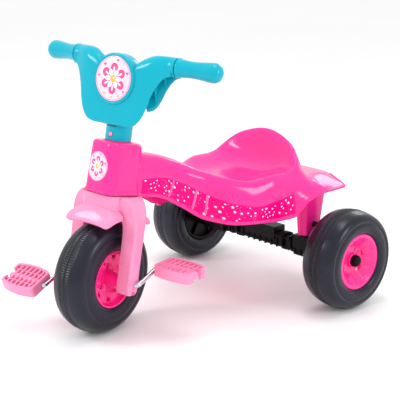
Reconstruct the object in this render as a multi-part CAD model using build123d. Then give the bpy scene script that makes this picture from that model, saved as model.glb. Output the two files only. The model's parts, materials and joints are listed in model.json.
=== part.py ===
from build123d import *
import math
import os

os.makedirs("parts", exist_ok=True)

# Children's tricycle, in millimetres: +X is the rider's left, +Y points to the back, +Z up.
# It is modelled with the front axle over the origin and moved to its own base centre at the end.

# Wheels
FRONT_TYRE_RADIUS = 100.0
FRONT_TYRE_WIDTH = 70.0
REAR_TYRE_RADIUS = 92.5
REAR_TYRE_WIDTH = 75.0
TYRE_WALL = 5.0
FRONT_FACE_RECESS = 6.0
REAR_FACE_RECESS = 7.0
FRONT_OPENING_RADIUS = 52.0
REAR_OPENING_RADIUS = 53.0
WHEELBASE = 403.0
TRACK = 420.0
HUB_WALL = 3.5
HUB_FLANGE = 4.5
HUB_BOSS_RADIUS = 12.0
FRONT_WEB_RECESS = 8.0
REAR_WEB_RECESS = 21.5
REAR_INNER_BOSS_RADIUS = 19.5
HUB_SLOTS = 8
HUB_RIBS = 6
RIB_STEP = 0.5
HUB_SCREWS = 4
HUB_SCREW_CIRCLE = 27.0
SCREW_RADIUS = 1.8
SCREW_HEAD_RADIUS = 3.6

# Steering
RAKE = 10.0
STEER_AT_REST = 12.0
STEM_RADIUS = 19.0
STEM_WALL = 4.0
STEM_REACH = 54.0
TOWER_CLEARANCE = 48.0
TOWER_HEIGHT = 87.6
TOWER_BADGE_DROP = 43.6
TOWER_HALF_TOP = 36.0
TOWER_HALF_BOTTOM = 39.0
TOWER_CORNER = 22.0
TOWER_WALL = 4.0
TOWER_ROOF = 12.0
TOWER_LIP = 1.8
TOWER_LIP_HEIGHT = 3.5
BUSH_WALL = 3.0
BUSH_FLANGE = 1.3
BUSH_LENGTH = 20.0
BUSH_RIM = 3.0

# Fork
WHEEL_SIDE_ROOM = 8.0
LEG_WIDTH = 29.0
SHOULDER_WIDTH = 30.0
LEG_DEPTH = 26.0
LEG_WALL = 4.0
LEG_END = -21.0
CROWN_RADIUS = 43.0
CROWN_ROOM = 3.0
SHOULDER_RISE = 12.0
CROWN_DROP = 10.0
GUARD_ROOM = 16.0
GUARD_INSET = 3.0
FORK_BUSH_WALL = 4.0
BUSH_END = 0.8
WHEEL_ROOM = 8.0
GUARD_THICKNESS = 4.0
GUARD_SWEEP = 33.0

# Crank and pedals
CRANK_RADIUS = 64.0
CRANK_ANGLE = 28.5
ROD_RADIUS = 4.0
PEDAL_GAP = 0.5
PEDAL_TUBE_WALL = 3.5
ARM_PLAY = 1.2
BEND_WALL = 1.0
PEDAL_LENGTH = 75.0
PEDAL_MIDDLE_DEPTH = 60.0
PEDAL_END_DEPTH = 49.0
PEDAL_HEIGHT = 19.0
PEDAL_WALL = 4.5
PEDAL_SLATS = 6
PEDAL_SLAT = 4.0
PEDAL_NOTCH = 11.0
PEDAL_TILT_LEFT = 10.0
PEDAL_TILT_RIGHT = 31.0
DRIVE_LUG = (10.0, 20.0, 5.0)

# Handlebar, with heights above the tower
COLLAR_WALL = 3.45
COLLAR_REACH = 64.0
DRUM_RISE = 105.4
BUTTON_RISE = 12.4
GRIP_RISE = 137.4
GRIP_START = 106.0
GRIP_REACH = 186.0
GRIP_SWEEP_BACK = 14.0
PANEL_WALL = 3.5
DRUM_RADIUS = 43.0
DRUM_FRONT = -32.0
DRUM_BACK = -5.0
GRIP_RADIUS = 16.0
GRIP_CORE_RADIUS = 9.0
BADGE_RADIUS = 37.5
BADGE_THICKNESS = 0.6
TOWER_BADGE_RADIUS = 25.0
BUTTON_RADIUS = 4.2
BUTTON_TRAVEL = 4.0
BUTTON_FLANGE = 1.6

# Body shell
SHELL_WALL = 3.5
STICKER_THICKNESS = 0.4
STICKER_GAP = 0.3
STICKER_MARGIN = 8.0

# Rear frame
HUB_TO_BEAM = 60.0
BLOCK_RISE = 24.5
POST_INSET = 47.0
POST_SPLAY = -2.0
POST_HEAD_RISE = 123.0
BOLT_RISE = 23.0
BEAM_CORE = 26.0
BEAM_RIB = 35.0
BEAM_RIB_THICKNESS = 3.0
BEAM_RIB_PITCH = 12.0
BEAM_FLANGE_RADIUS = 19.5
BEAM_END_BLOCK = 55.0
BEAM_BLOCK_DEPTH = 44.0
LEG_FOOT_WIDTH = 24.0
LEG_FOOT_DEPTH = 42.0
LEG_HEAD_WIDTH = 34.0
LEG_HEAD_DEPTH = 62.0
BOLT_RADIUS = 2.5
BOLT_HEAD_RADIUS = 6.0
BOLT_HEAD = 5.0
AXLE_RADIUS = 4.0
WASHER_RADIUS = 11.0
WASHER = 1.6
CAP_RADIUS = 11.5
CAP_LENGTH = 12.0

# Fits
RUNNING = 0.05
SEAT = 0.1
SIDE_PLAY = 0.3

# Sizes that follow from the ones above
FRONT_FACE = FRONT_TYRE_WIDTH / 2 - FRONT_FACE_RECESS
REAR_FACE = REAR_TYRE_WIDTH / 2 - REAR_FACE_RECESS
FRONT_WEB = FRONT_FACE - FRONT_WEB_RECESS
REAR_WEB = REAR_FACE - REAR_WEB_RECESS
BEAM_HALF_LENGTH = TRACK / 2 - HUB_TO_BEAM
REAR_INNER_BOSS_REACH = HUB_TO_BEAM - WASHER - SEAT - SIDE_PLAY
LEG_INSIDE = FRONT_TYRE_WIDTH / 2 + WHEEL_SIDE_ROOM
LEG_OUTSIDE = LEG_INSIDE + LEG_WIDTH
TOWER_BOTTOM = FRONT_TYRE_RADIUS + TOWER_CLEARANCE
TOWER_TOP = TOWER_BOTTOM + TOWER_HEIGHT
TOWER_BADGE_HEIGHT = TOWER_TOP - TOWER_BADGE_DROP
STEM_BORE = STEM_RADIUS - STEM_WALL
STEM_TOP = TOWER_TOP + STEM_REACH
CROWN_HEIGHT = TOWER_BOTTOM - CROWN_DROP
SHOULDER_HEIGHT = FRONT_TYRE_RADIUS + SHOULDER_RISE
GUARD_RADIUS = FRONT_TYRE_RADIUS + GUARD_ROOM
GUARD_HALF_WIDTH = LEG_INSIDE - GUARD_INSET
FORK_BUSH_RADIUS = ROD_RADIUS + FORK_BUSH_WALL
PEDAL_TUBE_RADIUS = ROD_RADIUS + PEDAL_TUBE_WALL
ROD_BEND = ROD_RADIUS + BEND_WALL
ARM_REACH = LEG_OUTSIDE + BUSH_END + ROD_BEND + ARM_PLAY
PEDAL_START = ARM_REACH + ROD_BEND + PEDAL_GAP
COLLAR_BOTTOM = TOWER_TOP + BUSH_FLANGE + SEAT
COLLAR_RADIUS = STEM_RADIUS + RUNNING + COLLAR_WALL
COLLAR_TOP = TOWER_TOP + COLLAR_REACH
BUTTON_HEIGHT = TOWER_TOP + BUTTON_RISE
DRUM_CENTRE = TOWER_TOP + DRUM_RISE
GRIP_HEIGHT = TOWER_TOP + GRIP_RISE
BEAM_TOP = REAR_TYRE_RADIUS + BLOCK_RISE
LEG_FOOT_INSIDE = BEAM_HALF_LENGTH - POST_INSET
LEG_HEAD_INSIDE = LEG_FOOT_INSIDE + POST_SPLAY
LEG_HEAD_HEIGHT = BEAM_TOP + POST_HEAD_RISE
BOLT_HEIGHT = BEAM_TOP + BOLT_RISE
CAVITY_FLOOR = BEAM_TOP - 1.0

FRONT_AXLE = Location((0, 0, FRONT_TYRE_RADIUS))
STEERING = FRONT_AXLE * Rotation(-RAKE, 0, 0)
STEERED = STEERING * Rotation(0, 0, STEER_AT_REST)
REAR_AXLE = Location((0, WHEELBASE, REAR_TYRE_RADIUS))
SIDES = {"left": 1, "right": -1}

# Half sections of the saddle shell from the tower to the tail: where each stands, as a share of the
# wheelbase, then heights above the front wheel: the middle, then (half width, height) of the inner top,
# the crest, the outer crease, the panel and the hem.
SHELL_STATIONS = [
    (0.099, 109.0, (16.0, 108.5), (29.0, 105.0), (37.0, 96.0), (40.5, 72.0), (39.0, 40.0)),
    (0.243, 104.0, (16.0, 103.5), (29.0, 100.0), (38.0, 90.0), (42.0, 67.0), (41.0, 30.0)),
    (0.357, 90.0, (17.0, 89.5), (33.0, 86.0), (43.0, 75.0), (47.0, 51.0), (46.0, 4.0)),
    (0.459, 66.0, (25.0, 66.0), (46.0, 66.0), (59.0, 53.0), (64.0, 27.0), (64.0, -23.0)),
    (0.558, 43.0, (38.0, 43.0), (76.0, 49.0), (89.0, 37.0), (97.0, 7.0), (99.0, -33.0)),
    (0.675, 29.0, (50.0, 30.0), (98.0, 40.0), (109.0, 29.0), (117.0, -2.0), (117.0, -35.0)),
    (0.794, 29.0, (55.0, 31.0), (109.0, 46.0), (119.0, 35.0), (123.0, 4.0), (121.0, -39.0)),
    (0.856, 32.0, (55.0, 35.0), (110.0, 51.0), (120.0, 38.0), (127.0, 10.0), (134.0, -34.0)),
    (0.918, 41.0, (54.0, 45.0), (108.0, 58.0), (118.0, 42.0), (131.0, 14.0), (143.0, -10.0)),
    (0.963, 62.0, (52.0, 64.0), (101.0, 70.0), (113.0, 41.0), (130.0, 20.0), (145.0, -3.0)),
    (0.985, 99.0, (50.0, 96.0), (78.0, 87.0), (108.0, 40.0), (129.0, 19.0), (146.0, -0.5)),
    (1.005, 103.0, (50.0, 93.0), (80.0, 72.0), (104.0, 36.0), (129.0, 18.0), (147.0, 1.5)),
    (1.025, 92.0, (50.0, 62.0), (80.0, 38.0), (104.0, 30.0), (128.0, 17.0), (148.0, 3.0)),
    (1.042, 37.0, (45.0, 34.0), (82.0, 31.0), (103.0, 28.0), (127.0, 16.0), (149.0, 4.0)),
    (1.092, 26.0, (45.0, 26.0), (78.0, 26.0), (97.0, 25.0), (124.0, 15.0), (150.0, 5.0)),
    (1.154, 23.0, (45.0, 23.0), (74.0, 23.0), (92.0, 22.5), (120.0, 14.0), (150.0, 6.0)),
    (1.216, 20.0, (32.0, 20.0), (55.0, 20.0), (74.0, 19.5), (84.0, 18.0), (93.0, 16.0)),
]
KEEL_WIDTH = 3.0
KEEL_OUTLINE = [(0.246, 130.0), (0.246, 21.0), (0.280, 8.0), (0.347, 6.0), (0.442, 40.0), (0.442, 100.0)]

# The handlebar panel at stations along X: bottom and top above the tower, front and back from the steering
# axis, of a channel that is open to the rear.
PANEL_STATIONS = [
    (0.0, 26.4, 109.4, -29.0, -6.0),
    (30.0, 27.4, 116.4, -29.0, -6.0),
    (50.0, 32.4, 136.4, -28.5, -6.0),
    (60.0, 41.4, 144.4, -27.5, -4.0),
    (72.0, 60.4, 150.4, -25.0, 0.0),
    (86.0, 90.4, 153.9, -20.0, 6.0),
    (100.0, 119.4, 153.9, -16.5, 14.0),
]

nodes = {}


def polygon(points):
    """A flat face through three-dimensional points."""
    return Face(Wire.make_polygon(points, close=True))


def ring(outer, inner, start, end):
    """A tube along X from start to end."""
    tube = Cylinder(outer, end - start) - Cylinder(inner, end - start)
    return Pos((start + end) / 2, 0, 0) * Rotation(0, 90, 0) * tube


def rod(radius, start, end):
    """A round bar along X from start to end."""
    return Pos((start + end) / 2, 0, 0) * Rotation(0, 90, 0) * Cylinder(radius, end - start)


def mirrored(shape):
    return mirror(shape, about=Plane.YZ)


def on_side(shape, side):
    """A shape made for the left side, or its mirror image for the right."""
    return shape if side > 0 else mirrored(shape)


def tyre(radius, width, opening, face):
    """A hollow tyre of C section about the X axis, with beads that step in under the hub flanges."""
    half = width / 2
    depth = radius - opening
    bead = opening - HUB_FLANGE
    outer = [
        (face, opening),
        (half - 1.0, opening + 0.22 * depth),
        (half, opening + 0.45 * depth),
        (0.87 * half, opening + 0.80 * depth),
        (0.52 * half, opening + 0.94 * depth),
        (0, radius),
    ]
    right = [(x, 0, r) for x, r in outer]
    left = [(-x, 0, r) for x, r in reversed(outer[:-1])]
    skin = Spline(*(right + left))
    inner_half = half - TYRE_WALL
    lip = face - TYRE_WALL
    inner = [
        (lip - TYRE_WALL, opening),
        (inner_half - 0.5, opening + 0.3 * depth),
        (0.84 * inner_half, opening + 0.72 * depth),
        (0, radius - TYRE_WALL),
    ]
    inner_right = [(x, 0, r) for x, r in inner]
    inner_left = [(-x, 0, r) for x, r in reversed(inner[:-1])]
    lining = Spline(*(inner_right + inner_left))
    right_bead = Polyline(
        (face, 0, opening),
        (lip, 0, opening),
        (lip, 0, bead),
        (lip - TYRE_WALL, 0, bead),
        (lip - TYRE_WALL, 0, opening),
    )
    left_bead = Polyline(
        (-face, 0, opening),
        (-lip, 0, opening),
        (-lip, 0, bead),
        (TYRE_WALL - lip, 0, bead),
        (TYRE_WALL - lip, 0, opening),
    )
    section = Face(Wire([*skin.edges(), *right_bead.edges(), *lining.edges(), *left_bead.edges()]))
    return revolve(section, axis=Axis.X)


def hub_half(face, opening, web, boss_radius, boss_reach, bore):
    """One moulded hub half on the +X side of a wheel's middle: boss, web, barrel and rim flange."""
    flange = opening - 1.0
    barrel = opening - HUB_FLANGE - SEAT
    inside = barrel - HUB_WALL
    seat = face - TYRE_WALL + SEAT
    middle = SEAT / 2
    profile = [
        (middle, bore),
        (boss_reach, bore),
        (boss_reach, boss_radius),
        (web + HUB_WALL, boss_radius),
        (web + HUB_WALL, inside),
        (face + 1.0, inside),
        (face + 1.0, flange),
        (seat, flange),
        (seat, barrel),
        (middle, barrel),
        (middle, inside),
        (web, inside),
        (web, boss_radius),
        (middle, boss_radius),
    ]
    return revolve(polygon([(x, 0, r) for x, r in profile]), axis=Axis.X)


def around_x(shape, count, start=0.0):
    """Copies of a shape spaced evenly about the X axis."""
    return [Rotation(start + 360.0 * i / count, 0, 0) * shape for i in range(count)]


def front_hub(side):
    """A front hub half with slots in its web, screw posts and a pocket for the crank's drive lug."""
    bore = ROD_RADIUS + RUNNING
    boss_reach = LEG_INSIDE - SIDE_PLAY
    hub = hub_half(FRONT_FACE, FRONT_OPENING_RADIUS, FRONT_WEB, HUB_BOSS_RADIUS, boss_reach, bore)
    slot_radius = FRONT_OPENING_RADIUS - HUB_FLANGE - HUB_WALL - 6.0
    slot = Pos(FRONT_WEB, 0, slot_radius) * Box(4 * HUB_WALL, 9.0, 6.0)
    for cut in around_x(slot, HUB_SLOTS, 22.5):
        hub -= cut
    post = Pos(0, 0, HUB_SCREW_CIRCLE) * rod(2.5 * SCREW_RADIUS, SEAT / 2, FRONT_WEB + HUB_WALL)
    hole = Pos(0, 0, HUB_SCREW_CIRCLE) * rod(SCREW_RADIUS + RUNNING, -1.0, FRONT_WEB + 2 * HUB_WALL)
    for boss in around_x(post, HUB_SCREWS, CRANK_ANGLE):
        hub += boss
    for cut in around_x(hole, HUB_SCREWS, CRANK_ANGLE):
        hub -= cut
    hub = on_side(hub, side)
    length, width, height = DRIVE_LUG
    pocket = Box(length + 2 * SEAT, width + 2 * SEAT, height + 2 * SEAT)
    return hub - Rotation(CRANK_ANGLE, 0, 0) * pocket


def hub_screws():
    """Screws that clamp the two front hub halves, heads on the left."""
    under_head = FRONT_WEB + HUB_WALL + RUNNING
    shank = rod(SCREW_RADIUS, 2.0 - FRONT_WEB, under_head + 0.5)
    head = rod(SCREW_HEAD_RADIUS, under_head, under_head + 2.2)
    screw = Pos(0, 0, HUB_SCREW_CIRCLE) * (shank + head)
    return Compound(children=around_x(screw, HUB_SCREWS, CRANK_ANGLE))


def rear_outer_hub(side):
    """The dished outer half of a rear hub, with radial ribs between its boss and its barrel."""
    bore = AXLE_RADIUS + RUNNING
    boss = REAR_FACE - CAP_LENGTH
    hub = hub_half(REAR_FACE, REAR_OPENING_RADIUS, REAR_WEB, HUB_BOSS_RADIUS, boss, bore)
    root = HUB_BOSS_RADIUS - HUB_WALL / 2
    tip = REAR_OPENING_RADIUS - HUB_FLANGE - HUB_WALL / 2
    rib_height = boss - RIB_STEP - REAR_WEB
    place = Pos(REAR_WEB + rib_height / 2, 0, (root + tip) / 2)
    for bar in around_x(place * Box(rib_height, HUB_WALL, tip - root), HUB_RIBS, 30):
        hub += bar
    return on_side(hub, side)


def rear_inner_hub(side):
    """The inner half of a rear hub, whose long boss runs in to the beam."""
    bore = AXLE_RADIUS + RUNNING
    reach = REAR_INNER_BOSS_REACH
    hub = hub_half(REAR_FACE, REAR_OPENING_RADIUS, FRONT_WEB, REAR_INNER_BOSS_RADIUS, reach, bore)
    return on_side(hub, -side)


def crank_end(side):
    """Where the crank pin's centre line crosses the pedal's inner side, in the steering frame."""
    angle = math.radians(CRANK_ANGLE)
    return side * CRANK_RADIUS * math.cos(angle), side * CRANK_RADIUS * math.sin(angle)


def crank_rod():
    """One steel rod: pedal pin, arm, axle, arm and pedal pin, with a drive lug at its middle."""
    tip = PEDAL_START + PEDAL_LENGTH - PEDAL_NOTCH + CAP_LENGTH / 2
    left_y, left_z = crank_end(1)
    right_y, right_z = crank_end(-1)
    route = FilletPolyline(
        (-tip, right_y, right_z),
        (-ARM_REACH, right_y, right_z),
        (-ARM_REACH, 0, 0),
        (ARM_REACH, 0, 0),
        (ARM_REACH, left_y, left_z),
        (tip, left_y, left_z),
        radius=ROD_BEND,
    )
    start = Plane(origin=route @ 0, z_dir=route % 0)
    bar = sweep(start * Circle(ROD_RADIUS), path=route)
    length, width, height = DRIVE_LUG
    return bar + Rotation(CRANK_ANGLE, 0, 0) * Box(length, width, height)


def pedal():
    """A slatted pedal about its pin: curved long sides, cross slats, pin tube and an outer notch."""
    half = PEDAL_LENGTH / 2
    end = PEDAL_END_DEPTH / 2
    middle = PEDAL_MIDDLE_DEPTH / 2
    front = ThreePointArc((-half, -end), (0, -middle), (half, -end))
    back = ThreePointArc((half, end), (0, middle), (-half, end))
    sides = [Line((half, -end), (half, end)), Line((-half, end), (-half, -end))]
    outline = make_face(Wire([front, sides[0], back, sides[1]]))
    block = extrude(outline, amount=PEDAL_HEIGHT / 2, both=True)
    room = extrude(offset(outline, amount=-PEDAL_WALL), amount=PEDAL_HEIGHT, both=True)
    frame = block - room
    pitch = (PEDAL_LENGTH - PEDAL_WALL) / (PEDAL_SLATS + 1)
    slat = Box(PEDAL_SLAT, PEDAL_MIDDLE_DEPTH, PEDAL_HEIGHT - 2.0)
    for i in range(PEDAL_SLATS):
        place = PEDAL_WALL / 2 - half + pitch * (i + 1)
        frame += Pos(place, 0, 0) * slat & block
    notch_width = 2 * PEDAL_TUBE_RADIUS + 6.0
    frame -= Pos(half, 0, 0) * Box(2 * PEDAL_NOTCH, notch_width, 2 * PEDAL_HEIGHT)
    cheek = Box(PEDAL_WALL, notch_width + 2 * PEDAL_WALL, PEDAL_HEIGHT)
    frame += Pos(half - PEDAL_NOTCH, 0, 0) * cheek
    frame += rod(PEDAL_TUBE_RADIUS, -half, half - PEDAL_NOTCH)
    return frame - rod(ROD_RADIUS + RUNNING, -half - 1, half + 1)


def pedal_place(side):
    """Where a pedal sits on its crank pin, in the steering frame."""
    y, z = crank_end(side)
    tilt = PEDAL_TILT_LEFT if side > 0 else PEDAL_TILT_RIGHT
    return Pos(side * (PEDAL_START + PEDAL_LENGTH / 2), y, z) * Rotation(tilt, 0, 0)


def pedal_cap(side):
    """The push-on retainer on the pin's outer end."""
    start = PEDAL_START + PEDAL_LENGTH - PEDAL_NOTCH + PEDAL_WALL / 2 + SIDE_PLAY
    end = PEDAL_START + PEDAL_LENGTH - 1.0
    cap = fillet(rod(PEDAL_TUBE_RADIUS - 1.0, start, end).edges().sort_by(Axis.X)[-1], 2.0)
    tip = PEDAL_START + PEDAL_LENGTH - PEDAL_NOTCH + CAP_LENGTH / 2
    cap -= rod(ROD_RADIUS + RUNNING, start - 1, tip + SEAT)
    y, z = crank_end(side)
    return Pos(0, y, z) * on_side(cap, side)


def fork_leg():
    """The left fork leg: a channel open towards the wheel, round at its lower end."""
    half = LEG_DEPTH / 2
    outside = LEG_OUTSIDE
    shoulder = LEG_INSIDE + SHOULDER_WIDTH
    inner = LEG_INSIDE - 12
    outline = [(LEG_INSIDE, 0), (outside, 0), (shoulder, SHOULDER_HEIGHT - 32)]
    outline += [(shoulder, SHOULDER_HEIGHT - 8), (shoulder - 6, SHOULDER_HEIGHT + 5)]
    outline += [(CROWN_RADIUS + 8, CROWN_HEIGHT - 6), (CROWN_RADIUS - 4, CROWN_HEIGHT)]
    outline += [(inner, CROWN_HEIGHT), (inner, SHOULDER_HEIGHT), (LEG_INSIDE, SHOULDER_HEIGHT - 10)]
    plate = extrude(polygon([(x, -half, z) for x, z in outline]), amount=LEG_DEPTH, dir=(0, 1, 0))
    end = Pos(0, 0, half + LEG_END) * rod(half, LEG_INSIDE, outside)
    shank_height = -(half + LEG_END)
    shank_mid = (LEG_INSIDE + outside) / 2
    shank = Pos(shank_mid, 0, -shank_height / 2) * Box(LEG_WIDTH, LEG_DEPTH, abs(shank_height) + 0.01)
    leg = plate + end + shank
    room_height = SHOULDER_HEIGHT - 20 - LEG_END
    room_mid = LEG_END + LEG_WALL + room_height / 2
    room_width = LEG_WIDTH - LEG_WALL
    room = Box(room_width, LEG_DEPTH - 2 * LEG_WALL, room_height)
    leg -= Pos(LEG_INSIDE + room_width / 2 - 0.01, 0, room_mid) * room
    leg += rod(FORK_BUSH_RADIUS + LEG_WALL, LEG_INSIDE, outside)
    return leg - rod(FORK_BUSH_RADIUS + RUNNING, LEG_INSIDE - 1, outside + 1)


def mudguard():
    """A curved guard over the front wheel, on both sides of the steering axis."""
    arc = ring(GUARD_RADIUS, GUARD_RADIUS - GUARD_THICKNESS, -GUARD_HALF_WIDTH, GUARD_HALF_WIDTH)
    reach = 2 * GUARD_RADIUS
    sweep_half = math.radians(GUARD_SWEEP)
    side = reach * math.tan(sweep_half)
    x = -GUARD_HALF_WIDTH - 1
    wedge = polygon([(x, 0, 0), (x, side, reach), (x, -side, reach)])
    return arc & extrude(wedge, amount=2 * GUARD_HALF_WIDTH + 2, dir=(1, 0, 0))


def fork():
    """Crown, stem, two legs and mudguard, moulded in one."""
    crown_top = TOWER_BOTTOM - BUSH_FLANGE - RUNNING
    crown_bottom = GUARD_RADIUS - GUARD_THICKNESS
    crown = Pos(0, 0, (crown_top + crown_bottom) / 2) * Cylinder(CROWN_RADIUS, crown_top - crown_bottom)
    stem_height = STEM_TOP - crown_bottom
    stem = Pos(0, 0, crown_bottom + stem_height / 2) * Cylinder(STEM_RADIUS, stem_height)
    leg = fork_leg()
    whole = crown + stem + leg + mirrored(leg) + mudguard()
    whole -= rod(FRONT_TYRE_RADIUS + WHEEL_ROOM, -LEG_INSIDE, LEG_INSIDE)
    whole -= Pos(0, 0, crown_bottom + stem_height / 2) * Cylinder(STEM_BORE, stem_height + 2)
    button_hole = Cylinder(BUTTON_RADIUS + RUNNING, STEM_RADIUS)
    whole -= Pos(0, -STEM_RADIUS, BUTTON_HEIGHT) * Rotation(90, 0, 0) * button_hole
    return whole


def fork_bush(side):
    """A flanged plastic bearing in the fork leg's lower end."""
    outside = LEG_OUTSIDE
    bush = ring(FORK_BUSH_RADIUS, ROD_RADIUS + RUNNING, LEG_INSIDE + 0.5, outside)
    flange = ring(FORK_BUSH_RADIUS - 1.0, ROD_RADIUS + RUNNING, outside - 0.5, outside + BUSH_END)
    return on_side(bush + flange, side)


def tower_section(height, grow):
    """The tower's rounded square at a height along the steering axis, grown outwards."""
    share = (height - TOWER_BOTTOM) / (TOWER_TOP - TOWER_BOTTOM)
    half = TOWER_HALF_BOTTOM + share * (TOWER_HALF_TOP - TOWER_HALF_BOTTOM) + grow
    return Pos(0, 0, height) * RectangleRounded(2 * half, 2 * half, TOWER_CORNER + grow)


def tower_solid(bottom, top, grow):
    return loft([tower_section(bottom, grow), tower_section(top, grow)], ruled=True)


def tower():
    """The steering tower about the steering axis: walls, roof, bearing tube and bottom lip."""
    outer = tower_solid(TOWER_BOTTOM, TOWER_TOP, 0)
    outer = fillet(outer.faces().sort_by(Axis.Z)[-1].edges(), 6.0)
    outer += tower_solid(TOWER_BOTTOM, TOWER_BOTTOM + TOWER_LIP_HEIGHT, TOWER_LIP)
    return outer


def tower_room():
    """The tower's hollow, around its bearing tube."""
    tube = bush_outer() + TOWER_WALL
    roof = TOWER_TOP - TOWER_ROOF
    room = tower_solid(TOWER_BOTTOM - 1, roof, -TOWER_WALL)
    height = roof - TOWER_BOTTOM + 4
    return room - Pos(0, 0, TOWER_BOTTOM + height / 2 - 2) * Cylinder(tube, height)


def bush_outer():
    return STEM_RADIUS + RUNNING + BUSH_WALL


def tower_bush(mouth, direction):
    """A flanged bush in one end of the bearing tube; direction points out of that end."""
    sleeve = Pos(0, 0, -BUSH_LENGTH / 2) * Cylinder(bush_outer(), BUSH_LENGTH)
    flange = Pos(0, 0, BUSH_FLANGE / 2) * Cylinder(bush_outer() + BUSH_RIM, BUSH_FLANGE)
    bush = sleeve + flange - Cylinder(STEM_RADIUS + RUNNING, 3 * BUSH_LENGTH)
    if direction < 0:
        bush = mirror(bush, about=Plane.XY)
    return Pos(0, 0, mouth) * bush


def inset(points, wall):
    """A half section moved inwards by the wall, along the mean normal at each point."""
    moved = []
    for i, (x, z) in enumerate(points):
        before = points[max(i - 1, 0)]
        after = points[min(i + 1, len(points) - 1)]
        dx = after[0] - before[0]
        dz = after[1] - before[1]
        if i == 0:
            dz = 0.0
        size = math.hypot(dx, dz)
        moved.append((x + wall * dz / size, z - wall * dx / size))
    return moved


def above_wheel(x, height):
    return x, 2 * FRONT_TYRE_RADIUS + height


def half_points(station):
    return [above_wheel(x, z) for x, z in [(0.0, station[1]), *station[2:]]]


def section_face(y, half):
    right = [(x, y, z) for x, z in half]
    left = [(-x, y, z) for x, z in reversed(half) if x > 0]
    return polygon(right + left)


def shell_blank():
    """The saddle and neck as one filled form."""
    return loft([section_face(s[0] * WHEELBASE, half_points(s)) for s in SHELL_STATIONS], ruled=True)


def shell_cavity(start, end):
    """The open space under the saddle shell, from one station to another."""
    faces = []
    for station in SHELL_STATIONS[start:end]:
        half = inset(half_points(station), SHELL_WALL)
        half.append((half[-1][0], CAVITY_FLOOR))
        faces.append(section_face(station[0] * WHEELBASE, half))
    return loft(faces, ruled=True)


def keel(cavity):
    """The upright web under the neck, behind the tower."""
    outline = [(KEEL_WIDTH / 2, y * WHEELBASE, above_wheel(0, z)[1]) for y, z in KEEL_OUTLINE]
    return extrude(polygon(outline), amount=KEEL_WIDTH, dir=(-1, 0, 0)) & cavity


def body_shell(cavity):
    """Tower, neck, saddle and rear wings in one open-bottomed shell."""
    whole = STEERING * tower() + shell_blank()
    whole -= STEERING * tower_room()
    whole -= cavity
    whole += keel(cavity)
    crown_room = Cylinder(CROWN_RADIUS + CROWN_ROOM, TOWER_BOTTOM)
    whole -= STEERING * Pos(0, 0, TOWER_BOTTOM / 2) * crown_room
    bore = Pos(0, 0, (TOWER_BOTTOM + TOWER_TOP) / 2) * Cylinder(bush_outer() + RUNNING, 200)
    whole -= STEERING * bore
    return whole


def tower_badge():
    """A round sticker that wraps the tower's front."""
    skin = tower_solid(TOWER_BOTTOM, TOWER_TOP, SEAT + BADGE_THICKNESS)
    skin -= tower_solid(TOWER_BOTTOM - 1, TOWER_TOP + 1, SEAT)
    disc = Pos(0, -TOWER_HALF_BOTTOM, TOWER_BADGE_HEIGHT) * Rotation(90, 0, 0)
    return skin & disc * Cylinder(TOWER_BADGE_RADIUS, TOWER_HALF_BOTTOM)


def side_sticker():
    """The left sticker band along the shell's panel, above its hem."""
    faces = []
    for station in SHELL_STATIONS[1:8]:
        y = station[0] * WHEELBASE
        top, hem = half_points(station)[-2:]
        share = 1 - STICKER_MARGIN / (top[1] - hem[1])
        low = (top[0] + share * (hem[0] - top[0]), top[1] + share * (hem[1] - top[1]))
        near = STICKER_GAP
        far = STICKER_GAP + STICKER_THICKNESS
        corners = [(top[0] + near, top[1] - 1), (top[0] + far, top[1] - 1)]
        corners += [(low[0] + far, low[1]), (low[0] + near, low[1])]
        faces.append(polygon([(x, y, z) for x, z in corners]))
    return loft(faces, ruled=True)


def rear_leg(cavity):
    """The left post from under the saddle down to the beam, shaped to the shell's inside."""
    foot_x = LEG_FOOT_INSIDE + LEG_FOOT_WIDTH / 2
    head_x = LEG_HEAD_INSIDE + LEG_HEAD_WIDTH / 2
    foot = Pos(foot_x, WHEELBASE, BEAM_TOP) * RectangleRounded(LEG_FOOT_WIDTH, LEG_FOOT_DEPTH, 4.0)
    head = Pos(head_x, WHEELBASE, LEG_HEAD_HEIGHT) * RectangleRounded(LEG_HEAD_WIDTH, LEG_HEAD_DEPTH, 4.0)
    post = loft([foot, head], ruled=True)
    post = post & cavity
    hole = Pos(0, WHEELBASE, BOLT_HEIGHT) * rod(BOLT_RADIUS + RUNNING, foot_x, foot_x + 30)
    return post.solids().sort_by(SortBy.VOLUME)[-1] - hole


def leg_bolt():
    """The left black push-in bolt in the post's outer face."""
    foot_x = LEG_FOOT_INSIDE + LEG_FOOT_WIDTH / 2
    outer = LEG_FOOT_INSIDE + LEG_FOOT_WIDTH
    lean = (LEG_HEAD_INSIDE + LEG_HEAD_WIDTH - outer) / (LEG_HEAD_HEIGHT - BEAM_TOP)
    face = outer + lean * (BOLT_HEIGHT + BOLT_HEAD_RADIUS - BEAM_TOP) + SEAT
    bolt = rod(BOLT_RADIUS, foot_x + SEAT, face + 1) + rod(BOLT_HEAD_RADIUS, face, face + BOLT_HEAD)
    return Pos(0, WHEELBASE, BOLT_HEIGHT) * bolt


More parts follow.
